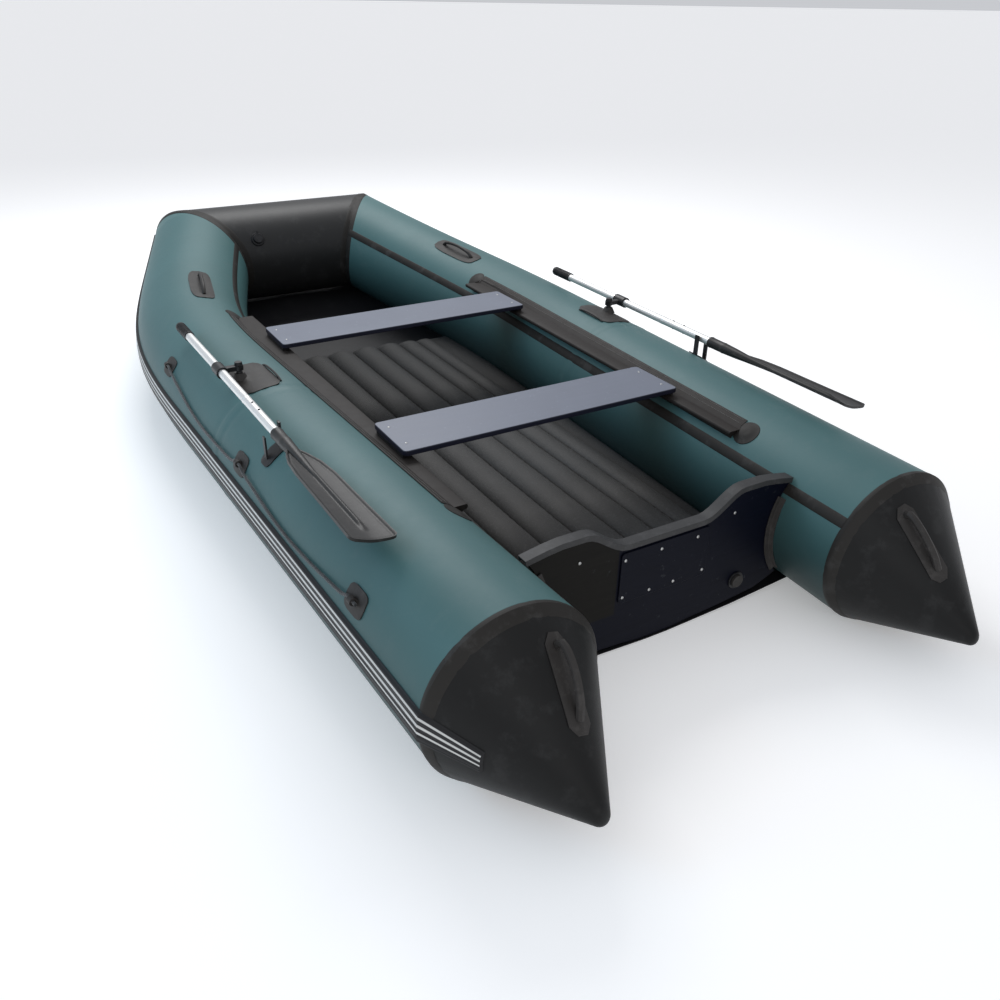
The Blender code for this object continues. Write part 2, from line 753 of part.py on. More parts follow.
def drain_body():
    """A flanged tube through the board."""
    tube = rod("drain_body", DRAIN - Vector((0, 0.004, 0)), DRAIN + Vector((0, 0.034, 0)), 0.0140,
               black_plastic())
    flange = rod("flange", DRAIN - Vector((0, 0.0045, 0)), DRAIN - Vector((0, GAP, 0)), 0.024, None)
    body = combine(tube, [flange], "UNION")
    bore = rod("bore", DRAIN - Vector((0, 0.05, 0)), DRAIN + Vector((0, 0.05, 0)), 0.0108, None, group=CUTTERS)
    return combine(body, [bore], "DIFFERENCE")


def drain_plug():
    stem = rod("drain_plug", DRAIN - Vector((0, 0.012, 0)), DRAIN + Vector((0, 0.018, 0)), 0.0102,
               black_rubber())
    head = rod("head", DRAIN - Vector((0, 0.012, 0)), DRAIN - Vector((0, 0.0050, 0)), 0.018, None)
    plug = combine(stem, [head], "UNION")
    set_origin(plug, DRAIN)
    return plug


# ---- seats --------------------------------------------------------------------------------
def bench_seat(which):
    y, length = SEATS[which]
    centre = Vector((0, y, SEAT_TOP - SEAT_THICK / 2))
    seat = box("bench_seat_" + which, (length, SEAT_WIDTH, SEAT_THICK), centre, bench_ply())
    corners = [e for e in seat.data.edges
               if abs(seat.data.vertices[e.vertices[0]].co.z - seat.data.vertices[e.vertices[1]].co.z) > 0.01]
    bm = bmesh.new()
    bm.from_mesh(seat.data)
    bm.edges.ensure_lookup_table()
    bmesh.ops.bevel(bm, geom=[bm.edges[e.index] for e in corners], offset=0.012, segments=3,
                    affect="EDGES", profile=0.5)
    bm.to_mesh(seat.data)
    bm.free()
    set_origin(seat, centre)
    return seat


def seat_slider(which, name):
    """The key under a bench end that runs on the rail."""
    y, length = SEATS[which]
    top = SEAT_TOP - SEAT_THICK - GAP
    centre = Vector((length / 2 - 0.013, y, top - SLIDER_H / 2))
    slider = box(name, (0.022, SEAT_WIDTH - 0.03, SLIDER_H), centre, black_plastic())
    set_origin(slider, centre)
    return slider


# ---- oars and rowlocks --------------------------------------------------------------------
SHAFT_POINT = PIN + Vector((OAR_OUT, 0, OAR_RISE))
OAR_DIR = Vector((OAR_SPLAY, 1.0, 0.0)).normalized()


def along_oar(y, up=0.0, out=0.0, tilt=0.0):
    """A point beside the oar's axis at a station y, in the tilted plane of a blade."""
    point = SHAFT_POINT + OAR_DIR * ((y - SHAFT_POINT.y) / OAR_DIR.y)
    tilt = math.radians(tilt)
    side = Vector((math.cos(tilt), 0, -math.sin(tilt)))
    face = Vector((math.sin(tilt), 0, math.cos(tilt)))
    return point + out * side + up * face



def oar_shaft(name):
    shaft = rod(name, along_oar(SOCKET_Y - 0.065), along_oar(OAR_GRIP_Y - 0.008), SHAFT_R,
                bare_aluminium(), sides=16)
    bore = rod("bore", along_oar(SOCKET_Y - 0.1), along_oar(OAR_GRIP_Y + 0.1), SHAFT_R - SHAFT_WALL,
               None, sides=16, group=CUTTERS)
    shaft = combine(shaft, [bore], "DIFFERENCE")
    set_origin(shaft, PIN)
    return shaft


def oar_grip(name):
    grip = rod(name, along_oar(OAR_GRIP_Y - 0.115), along_oar(OAR_GRIP_Y), 0.0165, black_plastic(), sides=16)
    bore = rod("bore", along_oar(OAR_GRIP_Y - 0.2), along_oar(OAR_GRIP_Y - 0.007), SHAFT_R + GAP,
               None, sides=16, group=CUTTERS)
    grip = combine(grip, [bore], "DIFFERENCE")
    set_origin(grip, PIN)
    return grip


def blade_outline():
    """Half-widths of the blade at distances from its socket's fore end; it is widest at its tip."""
    return ((0.115, 0.017), (0.150, 0.030), (0.200, 0.043), (0.270, 0.049), (0.360, 0.050),
            (0.450, 0.0515), (0.540, 0.0535), (0.590, BLADE_HALF_W))


def oar_blade(name, tilt):
    rings = []
    thick = 0.0022
    for distance, half in blade_outline():
        dish = BLADE_DISH * (half / BLADE_HALF_W) ** 2
        corners = ((-half, thick + dish), (-half / 2, thick), (half / 2, thick), (half, thick + dish),
                   (half, dish - thick), (half / 2, -thick), (-half / 2, -thick), (-half, dish - thick))
        rings.append([along_oar(SOCKET_Y - distance, up, out, tilt) for out, up in corners])
    blade = solid_loft(name, rings, black_plastic())
    socket = rod("socket", along_oar(SOCKET_Y), along_oar(SOCKET_Y - 0.16), 0.0165, None, 0.014, sides=16)
    rib = rod("rib", along_oar(SOCKET_Y - 0.15), along_oar(SOCKET_Y - 0.50), 0.0135, None, 0.003, sides=16)
    blade = combine(blade, [socket, rib], "UNION")
    bore = rod("bore", along_oar(SOCKET_Y + 0.05), along_oar(SOCKET_Y - 0.068), SHAFT_R + GAP, None, sides=16,
               group=CUTTERS)
    blade = combine(blade, [bore], "DIFFERENCE")
    set_origin(blade, PIN)
    return blade


def oar_blades():
    """Both blades; the port one is made on the starboard side and mirrored over."""
    oar_blade("oar_blade_starboard", BLADE_TILTS["starboard"])
    twin = oar_blade("oar_blade_twin", BLADE_TILTS["port"])
    mirrored(twin, "oar_blade_port")
    bpy.data.objects.remove(twin, do_unlink=True)


def oar_collar(name):
    """A clamp round the shaft, with an eye that turns on the rowlock's pin."""
    low, high = PIN.z + OAR_RISE - 0.007, PIN.z + OAR_RISE + 0.007
    ring = rod(name, along_oar(PIN.y - 0.028), along_oar(PIN.y + 0.028), SHAFT_R + 0.0055, black_plastic())
    arm = box("arm", (OAR_OUT - 0.010, 0.020, 0.0134), (PIN.x + OAR_OUT / 2, PIN.y, PIN.z + OAR_RISE), None)
    eye = rod("eye", (PIN.x, PIN.y, low), (PIN.x, PIN.y, high), 0.0135, None)
    collar = combine(ring, [arm, eye], "UNION")
    shaft_bore = rod("shaft_bore", along_oar(PIN.y - 0.1), along_oar(PIN.y + 0.1), SHAFT_R + GAP,
                     None, sides=16, group=CUTTERS)
    pin_bore = rod("pin_bore", (PIN.x, PIN.y, low - 0.02), (PIN.x, PIN.y, high + 0.02), PIN_R + GAP,
                   None, group=CUTTERS)
    collar = combine(collar, [shaft_bore, pin_bore], "DIFFERENCE")
    set_origin(collar, PIN)
    return collar


def rowlock_pin(name):
    """A ball-footed pin with a knob that keeps the collar on."""
    top = PIN.z + OAR_RISE + 0.0075
    bm = bmesh.new()
    bmesh.ops.create_uvsphere(bm, u_segments=12, v_segments=8, radius=BALL_R)
    ball = from_bmesh(name, bm, black_plastic())
    ball.data.transform(Matrix.Translation(PIN))
    stem = rod("stem", PIN, (PIN.x, PIN.y, top + 0.004), PIN_R, None)
    knob = rod("knob", (PIN.x, PIN.y, top), (PIN.x, PIN.y, top + 0.010), 0.0125, None, 0.0105)
    pin = combine(ball, [stem, knob], "UNION")
    set_origin(pin, PIN)
    return pin


def tube_angle(x, y):
    """Section angle on the upper side of the straight tube, for a point's x and y."""
    offset = (x - straight_axis(y).x) / TUBE_R
    return math.degrees(math.acos(offset))


def rowlock_base(name):
    """The bonded rubber base: an oval pad, a post with a cup for the ball, and a pull loop."""
    angle = tube_angle(PIN.x, PIN.y)
    base = pad(name, PIN.y - 0.02, angle + 9.0, 0.210, 0.118, 0.0022, black_rubber(), sides=18,
               levels=WIDE_PAD)
    foot = on_tube(PIN.y, angle, 0.001)
    post = rod("post", (PIN.x, PIN.y, foot.z), (PIN.x, PIN.y, PIN.z), 0.024, None, 0.0145)
    loop_points = []
    for k in range(9):
        t = k / 8
        height = 0.0018 + 0.0080 * math.sin(math.pi * t) ** 0.5
        loop_points.append(on_tube(PIN.y - 0.095 + 0.15 * t, angle + 25.0, height))
    loop = as_mesh(cable("loop", loop_points, 0.0033, None, 2))
    base = trim_to_tube(combine(base, [post, loop], "UNION"))
    bm = bmesh.new()
    bmesh.ops.create_uvsphere(bm, u_segments=12, v_segments=8, radius=BALL_R + 0.0005)
    cup = from_bmesh("cup", bm, None, CUTTERS)
    cup.data.transform(Matrix.Translation(PIN))
    return combine(base, [cup], "DIFFERENCE")


def oar_clip(name):
    """A moulded cradle that the shaft rests against; it is open above and outboard."""
    y = CLIP_Y
    shaft = along_oar(y)
    angle = tube_angle(shaft.x, y)
    clip = pad(name, y, angle, 0.055, 0.090, 0.003, black_plastic())
    skin = on_tube(y, angle, 0.0012)
    finger_x = shaft.x - SHAFT_R - 0.0075
    finger_top = shaft.z + 0.012
    finger = box("finger", (0.006, 0.016, finger_top - skin.z), (finger_x, y, (finger_top + skin.z) / 2), None)
    lip_x = shaft.x + SHAFT_R + 0.0085
    lip_z = shaft.z - SHAFT_R - 0.010
    drop = on_tube(y, angle - 10, 0.0012).z
    lip = box("lip", (0.005, 0.016, lip_z - drop), (lip_x, y, (lip_z + drop) / 2), None)
    return trim_to_tube(combine(clip, [finger, lip], "UNION"))


# ---- handles, lines and valves ------------------------------------------------------------
def carry_handle(name):
    """A pad on top of the tube with a raised grip bar over it."""
    handle = pad(name, HANDLE_Y, HANDLE_ANGLE, 0.290, 0.085, 0.0024, black_rubber(), sides=18, levels=WIDE_PAD)
    bar = [on_tube(HANDLE_Y - 0.105 + 0.21 * t, HANDLE_ANGLE, 0.002 + 0.026 * math.sin(math.pi * t) ** 0.45)
           for t in span(0.0, 1.0, 11)]
    return trim_to_tube(combine(handle, [as_mesh(cable("bar", bar, 0.0065, None, 2))], "UNION"))


def cone_handle(name):
    """A moulded strap handle near the end of the tail cone."""
    start = TAIL_SEAM_Y - CONE_HANDLE_START
    spine = []
    for t in span(0.0, 1.0, 11):
        height = 0.004 + 0.033 * math.sin(math.pi * t) ** 0.45
        spine.append(cone_skin(start - CONE_HANDLE_LENGTH * t, CONE_HANDLE_ANGLE, height))
    handle = as_mesh(cable(name, spine, 0.0090, black_rubber(), 2))
    low, high = 0.0006, 0.0034
    rings = []
    for t, share in ((-0.18, 0.45), (-0.04, 1.0), (0.5, 1.0), (1.04, 1.0), (1.18, 0.45)):
        y = start - CONE_HANDLE_LENGTH * t
        spread = math.degrees(share * CONE_HANDLE_PAD / cone_radius(TAIL_SEAM_Y - y))
        corners = [(-spread, low), (0, low), (spread, low), (spread, high), (0, high), (-spread, high)]
        rings.append([cone_skin(y, CONE_HANDLE_ANGLE + angle, height) for angle, height in corners])
    patch = solid_loft("patch", rings, None)
    return trim_to_hull(combine(handle, [patch], "UNION"), cone_rings(2 * GAP))


def line_route():
    """The grab line's path: through the three eyes, sagging a little between them."""
    knots = []
    for (y, angle), (next_y, next_angle) in zip(LINE_STATIONS, LINE_STATIONS[1:] + ((None, None),)):
        knots += [on_tube(y + step, angle, LINE_LIFT) for step in (0.020, 0.0, -0.020)]
        if next_y is not None:
            knots.append(on_tube(y - 0.085, angle - 4, 0.0070))
            knots.append(on_tube((y + next_y) / 2, (angle + next_angle) / 2 - 9, 0.0056))
            knots.append(on_tube(next_y + 0.085, next_angle - 4, 0.0070))
    return smooth_points(knots, 53)


def grab_line(name):
    return cable(name, line_route(), LINE_R, dark_rope(), 2)


def line_eye(name, y, angle):
    """A bonded pad with an upright eye that the grab line runs through."""
    eye = pad(name, y, angle, 0.085, 0.060, 0.0024, black_rubber())
    frame = surface_frame(y, angle)
    middle = LINE_LIFT - 0.001
    block = rod("block", frame @ Vector((0, -0.008, middle)), frame @ Vector((0, 0.008, middle)), 0.0098,
                None, sides=14)
    eye = combine(eye, [block], "UNION")
    hole = rod("hole", frame @ Vector((0, -0.05, LINE_LIFT)), frame @ Vector((0, 0.05, LINE_LIFT)), LINE_HOLE_R,
               None, sides=10, group=CUTTERS)
    return combine(eye, [hole], "DIFFERENCE")


def valve_frame():
    """Matrix of the air valve on the bow tube's aft side, Z out of the skin."""
    turn = math.radians(VALVE_TURN)
    normal = Vector((0, -math.cos(turn), math.sin(turn)))
    side = Vector((1, 0, 0))
    frame = Matrix((side, normal.cross(side), normal)).transposed().to_4x4()
    frame.translation = Vector((VALVE_X, BOW_CORNER.y, BOW_CORNER.z)) + (TUBE_R + 0.0006) * normal
    return frame


def air_valve():
    """The valve's bonded flange and body, its sprung plunger, and its flip cap."""
    frame = valve_frame()

    def up(z, x=0.0, y=0.0):
        return frame @ Vector((x, y, z))

    flange = rod("valve_body", up(0.0), up(0.005), VALVE_R, black_plastic(), 0.027, sides=24)
    collar = rod("collar", up(0.004), up(0.013), 0.021, None, sides=24)
    body = combine(flange, [collar], "UNION")
    bore = rod("bore", up(-0.01), up(0.03), 0.0150, None, sides=24, group=CUTTERS)
    combine(body, [bore], "DIFFERENCE")

    stem = rod("valve_plunger", up(0.002), up(0.0105), 0.0035, trim_plastic(), sides=12)
    disc = rod("disc", up(0.0015), up(0.0040), 0.0135, None, sides=20)
    plunger = combine(stem, [disc], "UNION")
    set_origin(plunger, up(0.0))

    cap = rod("valve_cap", up(0.0134), up(0.0190), 0.0215, black_plastic(), 0.0190, sides=24)
    tab = box("tab", (0.010, 0.012, 0.004), (0, 0, 0), None)
    tab.data.transform(frame @ Matrix.Translation((0, 0.0255, 0.0155)))
    cap = combine(cap, [tab], "UNION")
    set_origin(cap, up(0.0155, 0, 0.029))


# ---- assembly -----------------------------------------------------------------------------
def build():
    both_sides(aft_panel, "tube_aft")
    both_sides(fore_panel, "tube_fore")
    bow_panel()
    both_sides(tail_cone, "tail_cone")
    both_sides(inner_baffle, "inner_baffle")
    rubbing_strake()
    both_sides(seam_tape, "seam_tape")
    both_sides(seat_rail, "seat_rail")

    floor_deck()
    floor_webs()
    bottom_skin()
    keel_strip()

    transom_board()
    top_trim()
    motor_plate()
    both_sides(transom_holder, "transom_holder")
    drain_body()
    drain_plug()

    for which in SEATS:
        bench_seat(which)
        both_sides(lambda name: seat_slider(which, name), "seat_slider_" + which)

    oar_blades()
    for make, name in ((oar_shaft, "oar_shaft"), (oar_grip, "oar_grip"),
                       (oar_collar, "oar_collar"), (rowlock_pin, "rowlock_pin"), (rowlock_base, "rowlock_base"),
                       (oar_clip, "oar_clip"), (carry_handle, "carry_handle"), (cone_handle, "cone_handle"),
                       (grab_line, "grab_line")):
        both_sides(make, name)
    for place, (y, angle) in zip(("fore", "middle", "aft"), LINE_STATIONS):
        both_sides(lambda name: line_eye(name, y, angle), "line_eye_" + place)
    air_valve()


build()
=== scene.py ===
import json
import math

import bmesh
import bpy
from mathutils import Matrix, Vector

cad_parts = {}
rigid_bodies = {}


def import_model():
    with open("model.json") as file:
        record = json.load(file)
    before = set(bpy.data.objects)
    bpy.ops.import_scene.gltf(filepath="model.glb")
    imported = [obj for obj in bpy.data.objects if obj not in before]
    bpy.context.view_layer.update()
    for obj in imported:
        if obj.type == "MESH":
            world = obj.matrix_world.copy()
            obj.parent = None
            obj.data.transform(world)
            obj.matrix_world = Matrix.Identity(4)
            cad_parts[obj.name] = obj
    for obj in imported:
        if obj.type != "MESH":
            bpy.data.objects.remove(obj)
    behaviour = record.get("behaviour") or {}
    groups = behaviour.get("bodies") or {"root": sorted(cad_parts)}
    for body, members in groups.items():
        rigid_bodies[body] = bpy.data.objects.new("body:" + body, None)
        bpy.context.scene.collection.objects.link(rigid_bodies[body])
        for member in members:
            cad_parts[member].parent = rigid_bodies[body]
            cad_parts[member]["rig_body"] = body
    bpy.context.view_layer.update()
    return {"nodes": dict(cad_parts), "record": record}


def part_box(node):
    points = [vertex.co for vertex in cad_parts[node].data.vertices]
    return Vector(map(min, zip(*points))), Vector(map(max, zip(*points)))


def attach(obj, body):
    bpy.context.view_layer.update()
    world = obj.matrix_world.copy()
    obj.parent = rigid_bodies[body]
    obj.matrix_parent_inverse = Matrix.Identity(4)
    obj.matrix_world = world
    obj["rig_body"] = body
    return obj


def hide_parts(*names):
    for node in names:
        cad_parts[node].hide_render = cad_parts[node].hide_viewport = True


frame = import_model()

hull = {
    "tubeRadius": 0.209,
    "fabric": 0.0012,
    "transomY": -1.275,
    "tubeX": 0.565,
    "splay": 0.0427,            # the tubes open by this much per metre towards the bow
    "tailSeamY": -1.487,
    "panelSeamY": -0.236,
    "bowStartY": 0.124,         # straight aft of here
    "bowCorner": (0.378, 1.562, 0.349),
    "bowHandleAft": 0.700,
    "bowHandleFore": (0.207, -0.576, -0.125),
    "around": 96,               # faces round a tube
    "weldWidth": 0.030,         # overlap of two fabric panels
    "weldHeight": 0.0007,
}
side = {"starboard": 1, "port": -1}
turns = [360.0 * k / hull["around"] for k in range(hull["around"])]      # angles round a tube


# where things are on the tubes
def straightAxis(y):
    return Vector((hull["tubeX"] + hull["splay"] * (y - hull["transomY"]), y, hull["tubeRadius"]))


straightDirection = Vector((hull["splay"], 1.0, 0.0)).normalized()
bowCorner = Vector(hull["bowCorner"])
bowPoints = (straightAxis(hull["bowStartY"]),
             straightAxis(hull["bowStartY"]) + hull["bowHandleAft"] * straightDirection,
             bowCorner + Vector(hull["bowHandleFore"]), bowCorner)


def bowCurve(t):
    a, b, c, d = bowPoints
    s = 1 - t
    point = s ** 3 * a + 3 * s * s * t * b + 3 * s * t * t * c + t ** 3 * d
    slope = s * s * (b - a) + 2 * s * t * (c - b) + t * t * (d - c)
    return point, slope.normalized()


def axisAt(y):
    if y <= hull["bowStartY"]:
        return straightAxis(y), straightDirection
    low, high = 0.0, 1.0
    for _ in range(40):
        middle = (low + high) / 2
        if bowCurve(middle)[0].y < y:
            low = middle
        else:
            high = middle
    return bowCurve(low)


def acrossTube(direction):
    outboard = direction.cross(Vector((0, 0, 1))).normalized()
    return outboard, outboard.cross(direction)


def onRing(centre, direction, angle, radius):
    outboard, up = acrossTube(direction)
    a = math.radians(angle)
    return centre + radius * (math.cos(a) * outboard + math.sin(a) * up)


def onTube(y, angle, height=0.0):
    # 0 degrees is outboard, 90 the top, 180 inboard
    centre, direction = axisAt(y)
    return onRing(centre, direction, angle, hull["tubeRadius"] + height)


def span(start, end, count):
    return [start + (end - start) * k / (count - 1) for k in range(count)]


def smoothStep(value, low, high):
    t = min(max((value - low) / (high - low), 0.0), 1.0)
    return t * t * (3 - 2 * t)


mitreNormal = (bowCurve(1.0)[1] + Vector((-1, 0, 0))).normalized()


def reachMitre(angle, radius, back=0.0):
    # the point where a line along the side tube's end meets the mitre, or some way before it
    centre, direction = bowCurve(1.0)
    start = onRing(centre, direction, angle, radius)
    run = (bowCorner - start).dot(mitreNormal) / direction.dot(mitreNormal)
    return start + (run - back) * direction


def flipped(point, sign):
    return Vector((point.x * sign, point.y, point.z))


# shader maths as expressions
class Value:
    def __init__(self, paint, socket):
        self.paint = paint
        self.socket = socket

    def maths(self, operation, other, swap=False):
        first, second = (other, self) if swap else (self, other)
        return self.paint.node("ShaderNodeMath", {"operation": operation}, {0: first, 1: second})

    def __add__(self, other):
        return self.maths("ADD", other)

    def __radd__(self, other):
        return self.maths("ADD", other, True)

    def __sub__(self, other):
        return self.maths("SUBTRACT", other)

    def __rsub__(self, other):
        return self.maths("SUBTRACT", other, True)

    def __mul__(self, other):
        return self.maths("MULTIPLY", other)

    def __rmul__(self, other):
        return self.maths("MULTIPLY", other, True)

    def __truediv__(self, other):
        return self.maths("DIVIDE", other)

    def __pow__(self, other):
        return self.maths("POWER", other)


class Paint:
    def __init__(self, name, colour, roughness, metallic=0.0, **uniform):
        self.material = bpy.data.materials.new(name)
        self.material.use_nodes = True
        self.tree = self.material.node_tree
        self.shader = self.tree.nodes["Principled BSDF"]
        self.set("Base Color", (*colour, 1.0))
        self.set("Roughness", roughness)
        self.set("Metallic", metallic)
        for socket, value in uniform.items():
            self.set(socket.replace("_", " "), value)
        self.material.diffuse_color = (*colour, 1.0)

    def set(self, socket, value):
        if isinstance(value, Value):
            self.tree.links.new(value.socket, self.shader.inputs[socket])
        else:
            self.shader.inputs[socket].default_value = value

    def node(self, kind, settings=None, inputs=None, output=0):
        made = self.tree.nodes.new(kind)
        for key, value in (settings or {}).items():
            if key == "stops":
                ramp = made.color_ramp
                while len(ramp.elements) < len(value):
                    ramp.elements.new(0.5)
                for element, (place, colour) in zip(ramp.elements, value):
                    element.position = place
                    element.color = (*colour, 1.0)
            else:
                setattr(made, key, value)
        for key, value in (inputs or {}).items():
            if isinstance(value, Value):
                self.tree.links.new(value.socket, made.inputs[key])
            else:
                made.inputs[key].default_value = value
        return Value(self, made.outputs[output])

    def place(self):
        return self.node("ShaderNodeTexCoord", output="Object")

    def along(self):
        return self.node("ShaderNodeUVMap", {"uv_map": "lay"})

    def part(self, vector, axis):
        return self.node("ShaderNodeSeparateXYZ", None, {0: vector}, output=axis)

    def noise(self, vector, scale, detail=2.0, rough=0.5):
        return self.node("ShaderNodeTexNoise", None,
                         {"Vector": vector, "Scale": scale, "Detail": detail, "Roughness": rough})

    def ramp(self, factor, stops):
        return self.node("ShaderNodeValToRGB", {"stops": stops}, {"Fac": factor})

    def between(self, factor, first, second):
        inputs = {0: factor}
        for key, value in ((6, first), (7, second)):
            inputs[key] = value if isinstance(value, Value) else (*value, 1.0)
        return self.node("ShaderNodeMix", {"data_type": "RGBA"}, inputs, output=2)

    def wave(self, value, perMetre):
        # a sine that repeats this many times a metre
        return self.node("ShaderNodeMath", {"operation": "SINE"}, {0: value * (perMetre * 6.2832)})

    def band(self, value, low, high, soft):
        # 1 between low and high, 0 outside, with soft edges
        rise = self.node("ShaderNodeMapRange", {"interpolation_type": "SMOOTHSTEP"},
                         {"Value": value, "From Min": low - soft, "From Max": low + soft})
        fall = self.node("ShaderNodeMapRange", {"interpolation_type": "SMOOTHSTEP"},
                         {"Value": value, "From Min": high - soft, "From Max": high + soft})
        return rise * (1 - fall)

    def bump(self, height, distance, strength=1.0):
        self.set("Normal", self.node("ShaderNodeBump", None,
                                     {"Height": height, "Distance": distance, "Strength": strength}))


threadsPerMetre = 900.0
stripes = {"rows": ((0.290, 0.352), (0.470, 0.532), (0.650, 0.712)), "soft": 0.010}      # shares of the width
# where the painted lit stretch of floor begins and ends, and how soft its edges are
litFloorBand = {"aft": -1.14, "fore": -0.16, "soft": 0.012}
# the painted light patch on the transom, by x and z
paintedLightPatch = {"port": -0.60, "starboard": -0.142, "low": 0.115, "high": 0.60}
railSeam = {"low": 0.545, "high": 0.565, "soft": 0.006}


def scaled(colour, share):
    return tuple(min(c * share, 1.0) for c in colour)


def coatedFabric(name, colour, roughness, uvLaid=True, dust=0.5, lowShade=0.4, lowEdge=0.16, shine=0.3):
    # PVC laid on a woven scrim: faint threads, soft clouding, scuffs and settled dust, with painted shade
    # darkening the lower part
    paint = Paint(name, colour, roughness, 0.0, Specular_IOR_Level=shine)
    place = paint.place()
    clouds = paint.noise(place, 2.3, 3.0)
    grime = paint.noise(place, 17.0, 5.0, 0.65)
    scuffs = paint.noise(place, 60.0, 3.0, 0.7)
    shade = paint.between(clouds, scaled(colour, 0.86), scaled(colour, 1.16))
    pale = tuple(c * 0.75 + 0.07 for c in colour)
    shade = paint.between(paint.band(grime, 0.60, 1.2, 0.09) * (0.30 * dust), shade, pale)
    low = paint.band(paint.part(place, "Z"), -0.5, lowEdge, 0.15)      # painted shade: darker towards the bottom, where the top light leaves the hull in shade
    shade = paint.between(low * lowShade, shade, scaled(colour, 0.25))
    paint.set("Base Color", shade)
    paint.set("Roughness", roughness - 0.07 + 0.10 * grime + 0.06 * scuffs)
    weave = paint.along() if uvLaid else place
    warp = paint.wave(paint.part(weave, "X"), threadsPerMetre)
    weft = paint.wave(paint.part(weave, "Y"), threadsPerMetre)
    paint.bump(warp * weft * 0.10 + 0.9 * scuffs + 0.6 * grime, 0.00022, 0.55)
    return paint.material


def mouldedPlastic(name, colour, roughness, grain=420.0):
    paint = Paint(name, colour, roughness, 0.0, Specular_IOR_Level=0.3)
    place = paint.place()
    fine = paint.noise(place, grain, 2.0)
    wear = paint.noise(place, 38.0, 4.0, 0.7)
    paint.set("Base Color", paint.between(paint.band(wear, 0.58, 1.2, 0.08) * 0.5, colour,
                                          tuple(c * 1.6 + 0.012 for c in colour)))
    paint.set("Roughness", roughness - 0.08 + 0.16 * wear)
    paint.bump(fine + 0.5 * wear, 0.00016, 0.6)
    return paint.material


def strakeRubber(name, colour, stripe):
    # extruded fender with three pale lines moulded into its ribs
    paint = Paint(name, colour, 0.48, 0.0, Specular_IOR_Level=0.25)
    across = paint.part(paint.along(), "Y")
    wear = paint.noise(paint.place(), 22.0, 4.0, 0.7)
    lines = paint.band(across, *stripes["rows"][0], stripes["soft"])
    for low, high in stripes["rows"][1:]:
        lines = lines + paint.band(across, low, high, stripes["soft"])
    tone = paint.between(lines * (0.82 + 0.3 * wear), colour, stripe)
    paint.set("Base Color", tone)
    paint.set("Roughness", 0.38 + 0.2 * wear)
    paint.bump(paint.noise(paint.place(), 300.0, 2.0) + wear, 0.0002, 0.5)
    return paint.material


def floorFabric(name, colour):
    paint = Paint(name, colour, 0.62, 0.0, Sheen_Weight=0.06, Sheen_Roughness=0.5, Specular_IOR_Level=0.25)
    place = paint.place()
    run = paint.part(place, "Y")
    clouds = paint.noise(place, 5.0, 4.0, 0.6)
    fleck = paint.noise(place, 130.0, 3.0, 0.7)
    shade = paint.between(clouds, scaled(colour, 0.70), scaled(colour, 1.35))
    shade = paint.between(paint.band(fleck, 0.58, 1.2, 0.06) * 0.35, shade, tuple(c + 0.05 for c in colour))
    lobes = paint.node("ShaderNodeMath", {"operation": "SINE"}, {0: paint.part(place, "X") * 30.0})
    # painted light and shade: the floor keeps its tone along a lit stretch and is darkened fore and aft of
    # it, standing in for the benches' shadows
    litStretch = paint.band(run + lobes * 0.015, litFloorBand["aft"], litFloorBand["fore"], litFloorBand["soft"])
    shade = paint.between(litStretch, paint.between(0.62, shade, scaled(colour, 0.10)), shade)
    paint.set("Base Color", shade)
    paint.set("Roughness", 0.52 + 0.16 * fleck)
    twill = paint.wave(run + paint.part(place, "X") * 0.8, 620.0)
    paint.bump(0.22 * twill + fleck + 0.8 * clouds, 0.0005, 0.6)
    return paint.material


def railFabric(name, colour):
    paint = Paint(name, colour, 0.6, 0.0, Specular_IOR_Level=0.2)
    across = paint.part(paint.along(), "Y")
    wear = paint.noise(paint.place(), 30.0, 4.0, 0.7)
    shade = paint.between(wear, scaled(colour, 0.72), scaled(colour, 1.25))
    seam = paint.band(across, railSeam["low"], railSeam["high"], railSeam["soft"])
    paint.set("Base Color", paint.between(seam * 0.85, shade, (0.012, 0.012, 0.012)))
    paint.set("Roughness", 0.48 + 0.2 * wear)
    paint.bump(wear - 0.9 * seam, 0.0004, 0.6)
    return paint.material


def benchPaint(name, top, edge):
    # painted plywood: rolled-on grey top with faint grain telegraphing through, dark sealed edges
    paint = Paint(name, top, 0.42, 0.0, Specular_IOR_Level=0.35)
    place = paint.place()
    stretched = paint.node("ShaderNodeMapping", None, {"Vector": place, "Scale": (2.2, 34.0, 34.0)})
    grain = paint.noise(stretched, 2.0, 6.0, 0.6)
    mottle = paint.noise(place, 9.0, 4.0, 0.6)
    up = paint.part(paint.node("ShaderNodeNewGeometry", output="Normal"), "Z")
    onTop = paint.band(up, 0.80, 2.0, 0.10)
    tone = paint.between(mottle, scaled(top, 0.88), scaled(top, 1.12))
    tone = paint.between(grain * 0.35, tone, scaled(top, 0.80))
    nicks = paint.band(paint.noise(place, 70.0, 3.0, 0.7), 0.68, 1.2, 0.03)
    tone = paint.between(nicks * 0.6, tone, scaled(top, 1.5))
    paint.set("Base Color", paint.between(onTop, edge, tone))
    paint.set("Roughness", 0.34 + 0.18 * mottle)
    paint.bump(grain + 0.6 * mottle, 0.0005, 0.5)
    return paint.material


